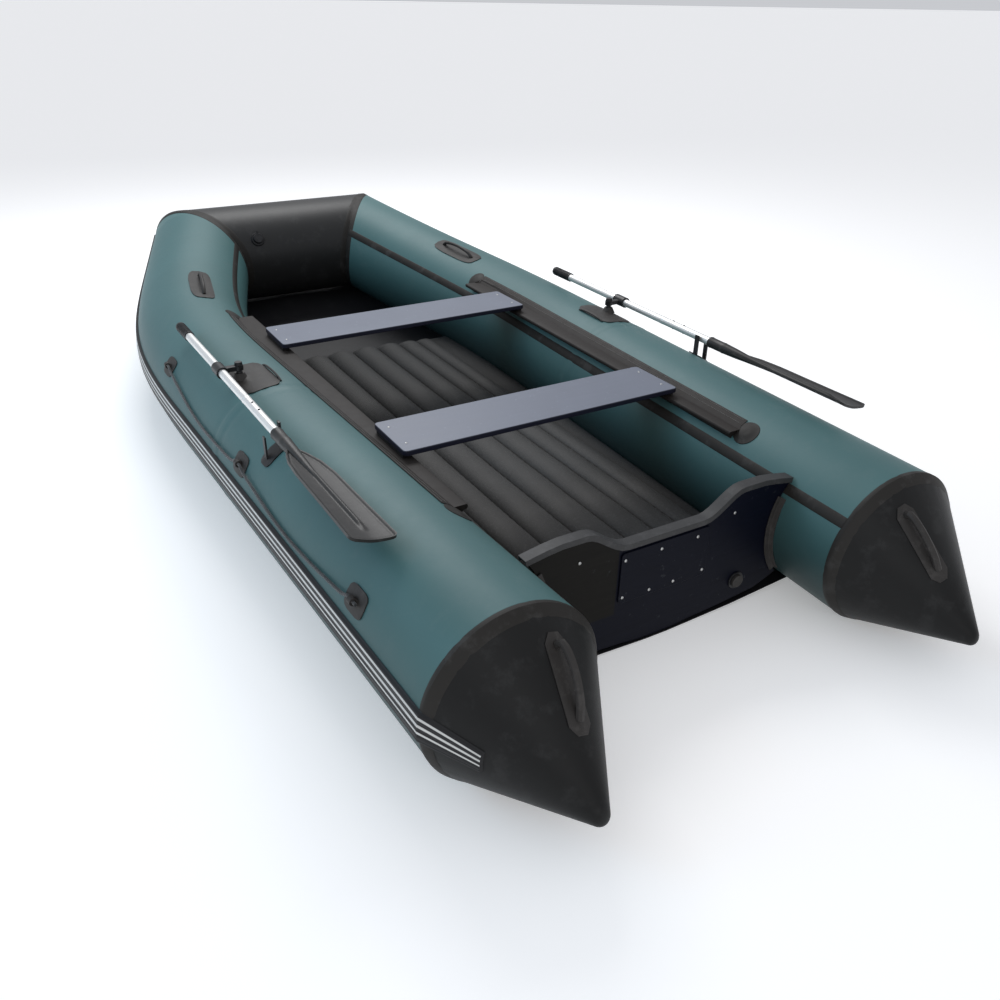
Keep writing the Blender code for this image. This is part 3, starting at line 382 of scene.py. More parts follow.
def transomPaint(name, navy, brown):
    # sealed marine ply: near-black navy, with a browner patch of painted light on the port side
    paint = Paint(name, navy, 0.40, 0.0, Specular_IOR_Level=0.08)
    place = paint.place()
    stretched = paint.node("ShaderNodeMapping", None, {"Vector": place, "Scale": (3.0, 20.0, 30.0)})
    grain = paint.noise(stretched, 2.5, 6.0, 0.65)
    scratch = paint.band(paint.noise(place, 45.0, 5.0, 0.75), 0.66, 1.2, 0.03)
    # painted light: a browner patch on the port side of the board
    sideways = paint.band(paint.part(place, "X"), paintedLightPatch["port"], paintedLightPatch["starboard"], 0.002)
    lightPatch = sideways * paint.band(paint.part(place, "Z"), paintedLightPatch["low"], paintedLightPatch["high"], 0.004)
    tone = paint.between(lightPatch, navy, brown)
    tone = paint.between(grain * 0.5, tone, (0.002, 0.002, 0.003))
    tone = paint.between(scratch * 0.35, tone, (0.05, 0.055, 0.06))
    paint.set("Base Color", tone)
    paint.set("Roughness", 0.32 + 0.2 * grain)
    paint.bump(grain + 0.4 * scratch, 0.0006, 0.5)
    return paint.material


def brushedTube(name):
    paint = Paint(name, (0.80, 0.80, 0.78), 0.34, 0.75)
    stretched = paint.node("ShaderNodeMapping", None, {"Vector": paint.place(), "Scale": (60.0, 1.2, 60.0)})
    drawn = paint.noise(stretched, 9.0, 4.0, 0.6)
    spots = paint.band(paint.noise(paint.place(), 55.0, 4.0, 0.75), 0.66, 1.2, 0.03)
    tone = paint.between(drawn, (0.72, 0.72, 0.71), (0.90, 0.90, 0.88))
    paint.set("Base Color", paint.between(spots * 0.5, tone, (0.30, 0.29, 0.28)))
    paint.set("Roughness", 0.30 + 0.16 * drawn + 0.2 * spots)
    paint.bump(drawn, 0.0001, 0.4)
    return paint.material


def wornSteel(name):
    paint = Paint(name, (0.55, 0.55, 0.54), 0.32, 1.0)
    turned = paint.noise(paint.place(), 400.0, 3.0, 0.6)
    rust = paint.band(paint.noise(paint.place(), 90.0, 4.0, 0.7), 0.60, 1.2, 0.05)
    tone = paint.between(turned, (0.44, 0.44, 0.43), (0.68, 0.68, 0.67))
    paint.set("Base Color", paint.between(rust * 0.6, tone, (0.16, 0.11, 0.08)))
    paint.set("Roughness", 0.26 + 0.2 * turned + 0.2 * rust)
    paint.bump(turned, 0.0001, 0.5)
    return paint.material


def ropePaint(name, colour, fleckColour):
    paint = Paint(name, colour, 0.8, 0.0, Sheen_Weight=0.3)
    laid = paint.along()
    fibres = paint.wave(paint.part(laid, "X") + paint.part(laid, "Y") * 0.010, 900.0)
    fuzz = paint.noise(paint.place(), 260.0, 3.0, 0.7)
    paint.set("Base Color", paint.between(paint.band(fuzz, 0.55, 1.2, 0.05) * 0.5, colour, fleckColour))
    paint.bump(0.4 * fibres + fuzz, 0.0004, 0.7)
    return paint.material


finish = {
    # lowShade and lowEdge set how strongly and how high the painted shade darkens each fabric
    "teal": coatedFabric("teal_pvc", (0.060, 0.142, 0.146), 0.48, lowShade=0.9, lowEdge=0.25),
    "black": coatedFabric("black_pvc", (0.020, 0.020, 0.020), 0.44),
    "cone": coatedFabric("cone_pvc", (0.010, 0.010, 0.010), 0.46, shine=0.2),
    "tape": coatedFabric("seam_tape_pvc", (0.022, 0.020, 0.018), 0.55, dust=1.0, shine=0.2),
    "bottom": coatedFabric("bottom_pvc", (0.016, 0.016, 0.018), 0.5, uvLaid=False),
    "floor": floorFabric("floor_fabric", (0.052, 0.050, 0.048)),
    "rail": railFabric("rail_fabric", (0.024, 0.020, 0.018)),
    "strake": strakeRubber("strake_rubber", (0.015, 0.015, 0.016), (0.62, 0.62, 0.60)),
    "rubber": mouldedPlastic("moulded_rubber", (0.030, 0.027, 0.025), 0.55),
    "plastic": mouldedPlastic("black_plastic", (0.013, 0.013, 0.014), 0.36),
    "blade": mouldedPlastic("blade_plastic", (0.022, 0.021, 0.020), 0.42, 300.0),
    "trim": mouldedPlastic("trim_plastic", (0.035, 0.035, 0.036), 0.5),
    "bench": benchPaint("bench_paint", (0.170, 0.186, 0.235), (0.010, 0.011, 0.024)),
    "transom": transomPaint("transom_paint", (0.003, 0.004, 0.011), (0.009, 0.008, 0.006)),
    "inner": coatedFabric("inner_scrim", (0.16, 0.16, 0.16), 0.7, uvLaid=False),
    "aluminium": brushedTube("oar_tube"),
    "rope": ropePaint("grab_rope", (0.014, 0.016, 0.018), (0.07, 0.08, 0.085)),
    "thread": ropePaint("sewing_thread", (0.115, 0.110, 0.100), (0.20, 0.19, 0.17)),
    "screw": wornSteel("screw_steel"),
}
print("finishes mixed:", len(finish))


# making meshes
def meshOf(name, bm):
    mesh = bpy.data.meshes.new(name)
    bm.to_mesh(mesh)
    bm.free()
    thing = bpy.data.objects.new(name, mesh)
    bpy.context.scene.collection.objects.link(thing)
    return thing


def newPiece(name, bm, material, smooth=True, sharp=40.0):
    piece = meshOf(name, bm)
    piece.data.materials.append(material)
    if smooth:
        piece.data.shade_smooth()
        piece.data.set_sharp_from_angle(angle=math.radians(sharp))
    return piece


def gridPiece(name, rows, material, ring=True, thickness=0.0, ends=False, flip=False, sharp=40.0):
    # each row of points closes on itself when ring is set; UV "lay" holds metres along and share across
    bm = bmesh.new()
    lay = bm.loops.layers.uv.new("lay")
    loops = [[bm.verts.new(p) for p in row] for row in rows]
    count = len(rows[0])
    runs = [0.0]
    for low, high in zip(rows, rows[1:]):
        runs.append(runs[-1] + sum((b - a).length for a, b in zip(low[::4], high[::4])) / len(low[::4]))
    for r, (low, high) in enumerate(zip(loops, loops[1:])):
        for i in range(count if ring else count - 1):
            j = (i + 1) % count
            corners = ((low[i], r, i), (low[j], r, i + 1), (high[j], r + 1, i + 1), (high[i], r + 1, i))
            if flip:
                corners = corners[::-1]
            face = bm.faces.new([c[0] for c in corners])
            for loop, (_, row, column) in zip(face.loops, corners):
                loop[lay].uv = (runs[row], column / (count if ring else count - 1))
    if ends:
        for loop in (loops[0], loops[-1]):
            bm.faces.new(loop)
        bmesh.ops.recalc_face_normals(bm, faces=bm.faces)
    piece = newPiece(name, bm, material, True, sharp)
    if thickness:
        wall = piece.modifiers.new("wall", "SOLIDIFY")
        wall.thickness = thickness
        wall.offset = -1.0
    return piece


def finished(piece, body, slot, *replaced):
    # modifiers are used up, so that the piece is a plain mesh before it rides
    if piece.modifiers:
        graph = bpy.context.evaluated_depsgraph_get()
        mesh = bpy.data.meshes.new_from_object(piece.evaluated_get(graph))
        piece.modifiers.clear()
        piece.data = mesh
    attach(piece, body)
    if replaced:
        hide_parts(*replaced)
    return piece


slotOf = {row["node"]: row["material_slot"] for row in frame["record"]["subparts"]}
easing = {"merge": 0.00002, "flatAngle": 1.0, "segments": 2, "cornerAngle": 38.0}


def softened(node, material, edge):
    # a CAD solid with its corners eased, standing in for the sharp one
    source = frame["nodes"][node]
    bm = bmesh.new()
    bm.from_mesh(source.data)
    bmesh.ops.remove_doubles(bm, verts=bm.verts, dist=easing["merge"])
    flat = math.radians(easing["flatAngle"])
    bmesh.ops.dissolve_limit(bm, angle_limit=flat, verts=bm.verts, edges=bm.edges)
    piece = newPiece(node + "_soft", bm, material, True, 50.0)
    bevel = piece.modifiers.new("eased", "BEVEL")
    bevel.width = edge
    bevel.segments = easing["segments"]
    bevel.limit_method = "ANGLE"
    bevel.angle_limit = math.radians(easing["cornerAngle"])
    bevel.harden_normals = False
    return finished(piece, source["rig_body"], slotOf[node], node)


def repainted(node, material):
    data = frame["nodes"][node].data
    data.materials.clear()
    data.materials.append(material)
    data.shade_smooth()
    data.set_sharp_from_angle(angle=math.radians(35.0))


# camera, floor and lights
view = {
    "place": (-1.281, -2.647, 1.4305),
    "yaw": 0.5352,
    "pitch": 0.517,
    "roll": 0.0162,
    "lens": 32.41,
    "floorHalf": 2000.0,
    "floorColour": (0.90, 0.90, 0.90),
    "floorGlow": 0.28,
    "skyStrength": 0.62,
}
studioLights = {
    "key": {"place": (0.6, 2.9, 3.6), "target": (0.0, -0.2, 0.2), "size": (2.6, 1.6),
            "energy": 100.0, "colour": (1, 1, 1)},
    "port_fill": {"place": (-3.4, 0.6, 2.4), "target": (-0.4, 0.0, 0.3), "size": (2.4, 1.4),
                  "energy": 26.4, "colour": (0.35, 0.70, 1.0)},
    "aft_fill": {"place": (-1.2, -4.2, 2.2), "target": (0.0, -1.0, 0.2), "size": (2.4, 1.4),
                 "energy": 12.0, "colour": (1, 1, 1)},
}


def makeCamera():
    cy, sy = math.cos(view["yaw"]), math.sin(view["yaw"])
    cp, sp = math.cos(view["pitch"]), math.sin(view["pitch"])
    ahead = Vector((sy * cp, cy * cp, -sp))
    right = ahead.cross(Vector((0, 0, 1))).normalized()
    up = right.cross(ahead)
    cr, sr = math.cos(view["roll"]), math.sin(view["roll"])
    data = bpy.data.cameras.new("camera")
    data.lens = view["lens"]
    data.sensor_width = 36.0
    data.clip_end = 100.0
    camera = bpy.data.objects.new("camera", data)
    turn = Matrix((cr * right + sr * up, -sr * right + cr * up, -ahead)).transposed().to_4x4()
    camera.matrix_world = Matrix.Translation(view["place"]) @ turn
    bpy.context.scene.collection.objects.link(camera)
    bpy.context.scene.camera = camera


def areaLight(name, lamp):
    data = bpy.data.lights.new(name, "AREA")
    data.shape = "RECTANGLE"
    data.size, data.size_y = lamp["size"]
    data.energy = lamp["energy"]
    data.color = lamp["colour"]
    light = bpy.data.objects.new(name, data)
    light.location = lamp["place"]
    ahead = Vector(lamp["target"]) - Vector(lamp["place"])
    light.rotation_euler = ahead.to_track_quat("-Z", "Y").to_euler()
    bpy.context.scene.collection.objects.link(light)


def makeStage():
    bm = bmesh.new()
    bmesh.ops.create_grid(bm, x_segments=1, y_segments=1, size=view["floorHalf"])
    paint = Paint("studio_floor", view["floorColour"], 0.9, 0.0, Emission_Strength=view["floorGlow"],
                  Emission_Color=(1.0, 1.0, 1.0, 1.0))
    floor = newPiece("studio_floor", bm, paint.material, False)
    world = bpy.data.worlds.new("studio")
    world.use_nodes = True
    sky = world.node_tree.nodes["Background"]
    sky.inputs["Color"].default_value = (0.93, 0.95, 1.0, 1.0)
    sky.inputs["Strength"].default_value = view["skyStrength"]
    bpy.context.scene.world = world
    bpy.context.scene.view_settings.view_transform = "Standard"
    for name, lamp in studioLights.items():
        areaLight(name, lamp)


makeCamera()
makeStage()
print("camera, floor and lights placed")


# inflated skins
def weldRise(distance):
    # the doubled fabric of a weld, with the skin drawn in a little beside it
    half = hull["weldWidth"] / 2
    raised = hull["weldHeight"] * (1 - smoothStep(abs(distance), half - 0.002, half + 0.002))
    return raised - 0.0010 * math.exp(-(abs(distance) - half - 0.012) ** 2 / 0.0002)


def pucker(y, angle, seamY, reach=0.06, depth=0.0011):
    # short creases that run off a welded seam
    away = abs(y - seamY)
    if away > reach * 2:
        return 0.0
    waves = math.sin(math.radians(angle) * 21) * math.sin(math.radians(angle) * 13 + 1.3)
    return depth * waves * math.exp(-(away / reach) ** 2)


def stationsAlong():
    rows = span(hull["tailSeamY"], hull["tailSeamY"] + 0.12, 9)
    rows += span(hull["tailSeamY"] + 0.15, hull["panelSeamY"] - 0.12, 26)
    rows += span(hull["panelSeamY"] - 0.10, hull["panelSeamY"] + 0.10, 33)
    rows += span(hull["panelSeamY"] + 0.13, hull["bowStartY"] - 0.01, 6)
    return rows


def sideTube(name, sign):
    rows = []
    for y in stationsAlong():
        row = []
        for a in turns:
            rise = weldRise(y - hull["panelSeamY"]) + pucker(y, a, hull["panelSeamY"]) \
                + pucker(y, a, hull["tailSeamY"], 0.05, 0.0009)
            row.append(flipped(onTube(y, a, rise), sign))
        rows.append(row)
    for t in span(0.0, 1.0, 44):
        centre, direction = bowCurve(t)
        rows.append([flipped(onRing(centre, direction, a, hull["tubeRadius"]), sign) for a in turns])
    rows.append([flipped(reachMitre(a, hull["tubeRadius"]), sign) for a in turns])
    # rings past the mitre plane on the inner side of the bend are pulled back onto it
    limit = [flipped(p, sign) for p in rows[-1]]
    for row in rows[-20:-1]:
        for i, p in enumerate(row):
            q = flipped(p, sign)
            if (q - bowCorner).dot(mitreNormal) > -0.0005:
                row[i] = flipped(limit[i], sign)
    return gridPiece(name, rows, finish["teal"], True, hull["fabric"], flip=sign > 0)


valve = {"x": -0.165, "turn": 28.0, "holeRadius": 0.0160}


def valveCutter():
    # the plunger goes in through this hole, under the valve's flange
    a = math.radians(valve["turn"])
    facing = Vector((0, -math.cos(a), math.sin(a)))
    centre = Vector((valve["x"], bowCorner.y, bowCorner.z)) + hull["tubeRadius"] * facing
    turn = facing.to_track_quat("Z", "Y").to_matrix().to_4x4()
    bm = bmesh.new()
    bmesh.ops.create_cone(bm, cap_ends=True, segments=48, radius1=valve["holeRadius"],
                          radius2=valve["holeRadius"], depth=0.03, matrix=Matrix.Translation(centre) @ turn)
    return meshOf("valve_cutter", bm)


def bowTube():
    loop = [reachMitre(a, hull["tubeRadius"]) for a in turns]
    rows = []
    for share in span(1.0, -1.0, 41):
        row = []
        for p in loop:
            q = Vector((p.x * share, p.y, p.z))
            middle = Vector((q.x, bowCorner.y, bowCorner.z))
            reach = (q - middle).length
            q = middle + (q - middle) * (hull["tubeRadius"] / reach)
            row.append(q)
        rows.append(row)
    piece = gridPiece("bow_skin", rows, finish["black"], True, hull["fabric"], flip=True)
    hole = piece.modifiers.new("valve_hole", "BOOLEAN")
    hole.operation = "DIFFERENCE"
    hole.solver = "EXACT"
    hole.object = valveCutter()
    return piece


cone = {"length": 0.2676, "droop": 0.082, "drift": 0.010, "noseRadius": 0.024}
coneSlope = math.acos(cone["noseRadius"] / math.hypot(hull["tubeRadius"], cone["length"])) \
    - math.atan2(cone["length"], hull["tubeRadius"])


def coneAxis(distance):
    share = distance / cone["length"]
    lean = Vector((cone["drift"] * share, 0, cone["droop"] * share))
    return straightAxis(hull["tailSeamY"] - distance) - lean


def onCone(y, angle, height=0.0):
    distance = hull["tailSeamY"] - y
    radius = hull["tubeRadius"] - distance * math.tan(coneSlope)
    return onRing(coneAxis(distance), straightDirection, angle, radius + height)


def tailCone(name, sign):
    straight = cone["length"] + cone["noseRadius"] * math.sin(coneSlope)
    rows = []
    for distance in span(0.0009, straight, 34):
        y = hull["tailSeamY"] - distance
        crease = 1 - smoothStep(distance, 0.10, 0.20)
        rises = [crease * pucker(distance, a, 0.0, 0.05, 0.0010) for a in turns]
        rows.append([flipped(onCone(y, a, rise), sign) for a, rise in zip(turns, rises)])
    for turn in span(math.degrees(coneSlope) + 6, 86.0, 9):
        a = math.radians(turn)
        centre = coneAxis(cone["length"] + cone["noseRadius"] * math.sin(a))
        rows.append([flipped(onRing(centre, straightDirection, b, cone["noseRadius"] * math.cos(a)), sign)
                     for b in turns])
    piece = gridPiece(name, rows, finish["cone"], True, 0.0, flip=sign < 0)
    bm = bmesh.new()
    bm.from_mesh(piece.data)
    bm.verts.ensure_lookup_table()
    cap = bm.faces.new(bm.verts[-hull["around"]:])
    cap.normal_update()
    if cap.normal.y > 0:
        cap.normal_flip()
    cap.smooth = True
    bm.to_mesh(piece.data)
    bm.free()
    wall = piece.modifiers.new("wall", "SOLIDIFY")
    wall.thickness = hull["fabric"]
    wall.offset = -1.0
    return piece


coneBand = {"aft": 0.020, "fore": 0.012, "height": 0.0013, "edge": 0.0002}      # from the tail seam


def ringBand(name, sign):
    # a welded band over the seam of tube and cone, feathered at both edges
    seam = hull["tailSeamY"]
    rows = []
    for k, y in enumerate(span(seam - coneBand["aft"], seam + coneBand["fore"], 9)):
        skin = onCone if y < seam else onTube
        edge = coneBand["height"] if 0 < k < 8 else coneBand["edge"]
        rows.append([flipped(skin(y, a, edge), sign) for a in turns])
    return gridPiece(name, rows, finish["tape"], True, 0.0, flip=sign > 0)


def mitreTape(name, sign):
    # up the side tube's end, over the corner and on along the bow tube
    width, height = 0.026, 0.0011
    rows = []
    for back, rise in ((width, 0.0002), (width - 0.002, height), (width * 0.5, height), (0.0, height)):
        rows.append([flipped(reachMitre(a, hull["tubeRadius"] + rise, back), sign) for a in turns])
    middle = [flipped(reachMitre(a, hull["tubeRadius"] + height, 0.0), sign) for a in turns]
    for over, rise in ((width * 0.5, 0.0), (width - 0.002, 0.0), (width, -height + 0.0002)):
        row = []
        for p in middle:
            q = p + Vector((-over * sign, 0, 0))
            centre = Vector((q.x, bowCorner.y, bowCorner.z))
            row.append(centre + (q - centre).normalized() * (hull["tubeRadius"] + height + rise))
        rows.append(row)
    return gridPiece(name, rows, finish["tape"], True, 0.0, flip=sign > 0)


for label, sign in side.items():
    finished(sideTube("side_skin_" + label, sign), "root", "hull_teal",
             "tube_aft_" + label, "tube_fore_" + label)
    finished(tailCone("cone_skin_" + label, sign), "root", "cone_black", "tail_cone_" + label)
    finished(ringBand("cone_band_" + label, sign), "root", "cone_black")
    finished(mitreTape("mitre_tape_" + label, sign), "root", "hull_black")
finished(bowTube(), "root", "hull_black", "bow_tube")
bpy.data.objects.remove(bpy.data.objects["valve_cutter"], do_unlink=True)
print("tubes, cones and bow made")


# strake, tapes and rails that follow the tubes
strake = {"middle": 4.0, "half": 10.0, "ribHeight": 0.0085, "grooveHeight": 0.0060, "past": 0.105}


def rubbingStrake():
    corners = []
    for k in range(37):
        share = k / 36
        angle = strake["middle"] - strake["half"] + 2 * strake["half"] * share
        edge = min(share, 1 - share)
        rise = 0.0012 + (strake["ribHeight"] - 0.0012) * smoothStep(edge, 0.0, 0.10)
        rise -= (strake["ribHeight"] - strake["grooveHeight"]) * max(
            0.0, math.cos((share - 0.32) / 0.36 * 4 * math.pi) * (0.16 < share < 0.84)) * 0.5
        corners.append((angle, rise))
    corners += [(strake["middle"] + strake["half"] * (1 - 2 * k / 8), 0.0006) for k in range(1, 8)]
    stations = span(hull["tailSeamY"] - strake["past"], hull["tailSeamY"], 6)
    stations += span(hull["tailSeamY"] + 0.05, hull["bowStartY"], 30)
    rows = []
    for y in stations:
        rows.append([(onCone if y < hull["tailSeamY"] else onTube)(y, a, h) for a, h in corners])
    for t in span(0.03, 0.97, 34):
        centre, direction = bowCurve(t)
        rows.append([onRing(centre, direction, a, hull["tubeRadius"] + h) for a, h in corners])
    rows.append([reachMitre(a, hull["tubeRadius"] + h) for a, h in corners])
    port = [[flipped(p, -1) for p in row] for row in reversed(rows)]
    return gridPiece("strake_fender", rows + port, finish["strake"], True, ends=True, sharp=35.0)


finished(rubbingStrake(), "root", "strake_rubber", "rubbing_strake")


def innerTape(name, sign):
    corners = [(143.0, 0.0003), (143.6, 0.0015), (147.0, 0.0017), (150.4, 0.0015), (151.0, 0.0003)]
    stations = span(hull["tailSeamY"] + 0.01, hull["bowStartY"], 30)
    rows = [[onTube(y, a, h) for a, h in corners] for y in stations]
    for t in span(0.03, 0.93, 32):
        centre, direction = bowCurve(t)
        rows.append([onRing(centre, direction, a, hull["tubeRadius"] + h) for a, h in corners])
    rows.append([reachMitre(a, hull["tubeRadius"] + h, 0.020) for a, h in corners])
    rows = [[flipped(p, sign) for p in row] for row in rows]
    return gridPiece(name, rows, finish["tape"], False, 0.0, flip=sign > 0)


rail = {
    "aft": -1.03,
    "spans": 0.25,                  # share of the bow's curve that the rail covers
    "innerX": (0.410, 0.441),       # inner edge at the aft and fore ends
    "top": 0.3761,
    "lip": 0.013,
    "nose": 0.004,
    "bonded": (118, 124, 130, 137),
}
railFore = bowCurve(rail["spans"])[0].y


def seatRail(name, sign):
    reach = math.sqrt(hull["tubeRadius"] ** 2 - (rail["top"] - hull["tubeRadius"]) ** 2)
    rows = []
    for y in span(rail["aft"], railFore, 40):
        share = (y - rail["aft"]) / (railFore - rail["aft"])
        inner = rail["innerX"][0] + share * (rail["innerX"][1] - rail["innerX"][0])
        top, low = rail["top"], rail["top"] - rail["lip"]
        row = [onTube(y, a, 0.0004) for a in rail["bonded"]]
        nose = rail["nose"]
        row += [Vector((inner + 0.012, y, low - 0.001)), Vector((inner + nose, y, low))]
        for turn in (240, 210, 180, 150, 120):
            a = math.radians(turn)
            row.append(Vector((inner + nose + nose * math.cos(a), y,
                               (top + low) / 2 + (top - low) / 2 * math.sin(a))))
        row += [Vector((inner + nose, y, top)), Vector((inner + 0.030, y, top)),
                Vector((straightAxis(y).x - reach - 0.004, y, top)),
                onTube(y, 124.5, 0.0026), onTube(y, 121, 0.0028), onTube(y, 118, 0.0022)]
        rows.append([flipped(p, sign) for p in row])
    return gridPiece(name, rows, finish["rail"], True, ends=True, sharp=35.0)


patch = {"radius": 0.038, "angle": 127.0, "height": 0.0018, "button": 0.002, "past": 0.03}


def roundPatch(name, y, sign):
    # a welded disc on the tube past the rail's end, with a raised moulded middle
    radius, height = patch["radius"], patch["height"]
    middle = height + patch["button"]
    steps = ((1.0, 0.0003), (0.97, height), (0.6, height), (0.42, middle), (0.2, middle), (0.02, middle))
    rows = []
    for share, rise in steps:
        row = []
        for k in range(40):
            a = 2 * math.pi * k / 40
            around = math.degrees(radius * share * math.sin(a) / hull["tubeRadius"])
            row.append(flipped(onTube(y + radius * share * math.cos(a), patch["angle"] + around, rise), sign))
        rows.append(row)
    return gridPiece(name, rows, finish["tape"], True, 0.0, ends=True)


for label, sign in side.items():
    finished(innerTape("seam_strip_" + label, sign), "root", "hull_black", "seam_tape_" + label)
    finished(seatRail("rail_channel_" + label, sign), "root", "rail_grey", "seat_rail_" + label)
    for end, y in (("aft", rail["aft"] - patch["past"]), ("fore", railFore + patch["past"])):
        finished(roundPatch("rail_patch_" + end + "_" + label, y, sign), "root", "hull_black")
print("strake, tapes and rails made")


# floor
floor = {
    "edges": (0.0, 0.110, 0.210, 0.295, 0.365),
    "valley": 0.088,
    "rise": 0.034,
    "aft": -1.228,
    "fore": 0.76,
    "endRound": 0.055,
}


def innerWall(y, z):
    centre, direction = axisAt(y)
    level = min(max((z - centre.z) / hull["tubeRadius"], -0.999), 0.999)
    return centre.x - hull["tubeRadius"] * math.sqrt(1 - level * level) / max(direction.y, 0.5) - 0.003


def ribHeight(x, y):
    distance = abs(x)
    if distance >= floor["edges"][-1]:
        return floor["valley"] + 0.002
    inner, outer = next(p for p in zip(floor["edges"], floor["edges"][1:]) if p[0] <= distance < p[1] + 1e-9)
    middle, half = (inner + outer) / 2, (outer - inner) / 2
    u = (distance - middle) / half
    crown = math.sqrt(max(0.0, 1 - u * u))
    ends = 1.0
    for away in (y - floor["aft"], floor["fore"] - y):
        if away < floor["endRound"]:
            ends = min(ends, math.sqrt(max(0.0, 1 - (1 - away / floor["endRound"]) ** 2)))
    nearValley = math.exp(-((1 - abs(u)) * half / 0.012) ** 2)
    creases = 0.0011 * nearValley * math.sin(2 * math.pi * y / 0.038 + 9 * middle)
    swell = 1 + 0.02 * math.sin(2 * math.pi * y / 0.31 + 40 * middle)
    return floor["valley"] + floor["rise"] * half / 0.055 * crown * ends * swell + creases


def floorDeck():
    columns = []
    for inner, outer in zip(floor["edges"], floor["edges"][1:]):
        middle, half = (inner + outer) / 2, (outer - inner) / 2
        columns += [middle - half * math.cos(math.pi * k / 14) for k in range(14)]
    columns.append(floor["edges"][-1])
    rows = []
    ys = [floor["aft"] + floor["endRound"] * (1 - math.cos(math.pi / 2 * k / 9)) for k in range(10)]
    ys += span(floor["aft"] + floor["endRound"] + 0.012, floor["fore"] - floor["endRound"] - 0.012, 150)
    ys += [floor["fore"] - floor["endRound"] * math.cos(math.pi / 2 * k / 9) for k in range(10)]
    for y in ys:
        wall = max(innerWall(y, floor["valley"] + 0.004), floor["edges"][-1] + 0.006)
        half = [(x, ribHeight(x, y)) for x in columns]
        half += [(wall - 0.004, floor["valley"] + 0.002), (wall, floor["valley"] + 0.004)]
        port = [Vector((-x, y, z)) for x, z in reversed(half[1:])]
        rows.append(port + [Vector((x, y, z)) for x, z in half])
    return gridPiece("floor_ribs", rows, finish["floor"], False, hull["fabric"], sharp=60.0)


finished(floorDeck(), "root", "floor_grey", "floor_deck")
print("floor made")


# repeated things, by geometry nodes
def scatterTree(name):
    # one small thing on every point, turned to look along the point's own "facing" attribute
    tree = bpy.data.node_groups.new(name, "GeometryNodeTree")
    face = tree.interface
    face.new_socket("Geometry", in_out="INPUT", socket_type="NodeSocketGeometry")
    face.new_socket("Thing", in_out="INPUT", socket_type="NodeSocketObject")
    face.new_socket("Size", in_out="INPUT", socket_type="NodeSocketFloat")
    face.new_socket("Finish", in_out="INPUT", socket_type="NodeSocketMaterial")
    face.new_socket("Geometry", in_out="OUTPUT", socket_type="NodeSocketGeometry")
    nodes = tree.nodes
    given = nodes.new("NodeGroupInput")
    result = nodes.new("NodeGroupOutput")
    info = nodes.new("GeometryNodeObjectInfo")
    points = nodes.new("GeometryNodeInstanceOnPoints")
    turn = nodes.new("FunctionNodeAlignRotationToVector")
    turn.axis = "Z"
    facing = nodes.new("GeometryNodeInputNamedAttribute")
    facing.data_type = "FLOAT_VECTOR"
    facing.inputs["Name"].default_value = "facing"
    real = nodes.new("GeometryNodeRealizeInstances")
    paint = nodes.new("GeometryNodeSetMaterial")
    link = tree.links.new
    link(given.outputs["Thing"], info.inputs["Object"])
    link(given.outputs["Geometry"], points.inputs["Points"])
    link(info.outputs["Geometry"], points.inputs["Instance"])
    link(given.outputs["Size"], points.inputs["Scale"])
    link(facing.outputs["Attribute"], turn.inputs["Vector"])
    link(turn.outputs["Rotation"], points.inputs["Rotation"])
    link(points.outputs["Instances"], real.inputs["Geometry"])
    link(real.outputs["Geometry"], paint.inputs["Geometry"])
    link(given.outputs["Finish"], paint.inputs["Material"])
    link(paint.outputs["Geometry"], result.inputs["Geometry"])
    return tree


scatter = scatterTree("scatter_on_points")


def scattered(name, places, thing, size, material, body):
    # places are (point, facing) pairs
    mesh = bpy.data.meshes.new(name)
    mesh.from_pydata([p for p, _ in places], [], [])
    facing = mesh.attributes.new("facing", "FLOAT_VECTOR", "POINT")
    for item, (_, direction) in zip(facing.data, places):
        item.vector = direction
    piece = bpy.data.objects.new(name, mesh)
    bpy.context.scene.collection.objects.link(piece)
    mod = piece.modifiers.new("scatter", "NODES")
    mod.node_group = scatter
    for item in scatter.interface.items_tree:
        if item.in_out == "INPUT" and item.name in ("Thing", "Size", "Finish"):
            mod[item.identifier] = {"Thing": thing, "Size": size, "Finish": material}[item.name]
    graph = bpy.context.evaluated_depsgraph_get()
    made = bpy.data.meshes.new_from_object(piece.evaluated_get(graph))
    piece.modifiers.clear()
    piece.data = made
    made.shade_smooth()
    made.set_sharp_from_angle(angle=math.radians(40.0))
    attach(piece, body)
    return piece


screw = {
    "profile": ((1.0, 0.0), (1.0, 0.12), (0.86, 0.34), (0.5, 0.46), (0.34, 0.46), (0.30, 0.24)),
    "bottomOfSlot": 0.22,
    "sides": 20,
    "benchR": 0.0036,
    "transomR": 0.0042,
    "fromBenchSide": 0.045,
    "fromBenchEnd": 0.026,
}


def turnedThing(name, profile, sides, tip=None):
    # a small turned shape with a radius of about 1, flat on top unless it closes at a tip
    bm = bmesh.new()
    rings = []
    for radius, z in profile:
        rings.append([bm.verts.new((radius * math.cos(2 * math.pi * k / sides),
                                    radius * math.sin(2 * math.pi * k / sides), z)) for k in range(sides)])
    for low, high in zip(rings, rings[1:]):
        for i in range(sides):
            bm.faces.new((low[i], low[(i + 1) % sides], high[(i + 1) % sides], high[i]))
    if tip is None:
        bm.faces.new(rings[-1])
    else:
        middle = bm.verts.new((0, 0, tip))
        for i in range(sides):
            bm.faces.new((rings[-1][i], rings[-1][(i + 1) % sides], middle))
    bm.faces.new(reversed(rings[0]))
    return meshOf(name, bm)


transom = {
    "plateY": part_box("motor_plate")[0].y,
    "boardY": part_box("transom_board")[0].y,
    "plateScrews": ((-0.125, 0.268), (-0.017, 0.268), (0.096, 0.268), (-0.125, 0.162), (-0.043, 0.158),
                    (0.032, 0.158), (0.125, 0.162)),
    "boardScrews": ((-0.255, 0.30), (0.215, 0.30)),
}


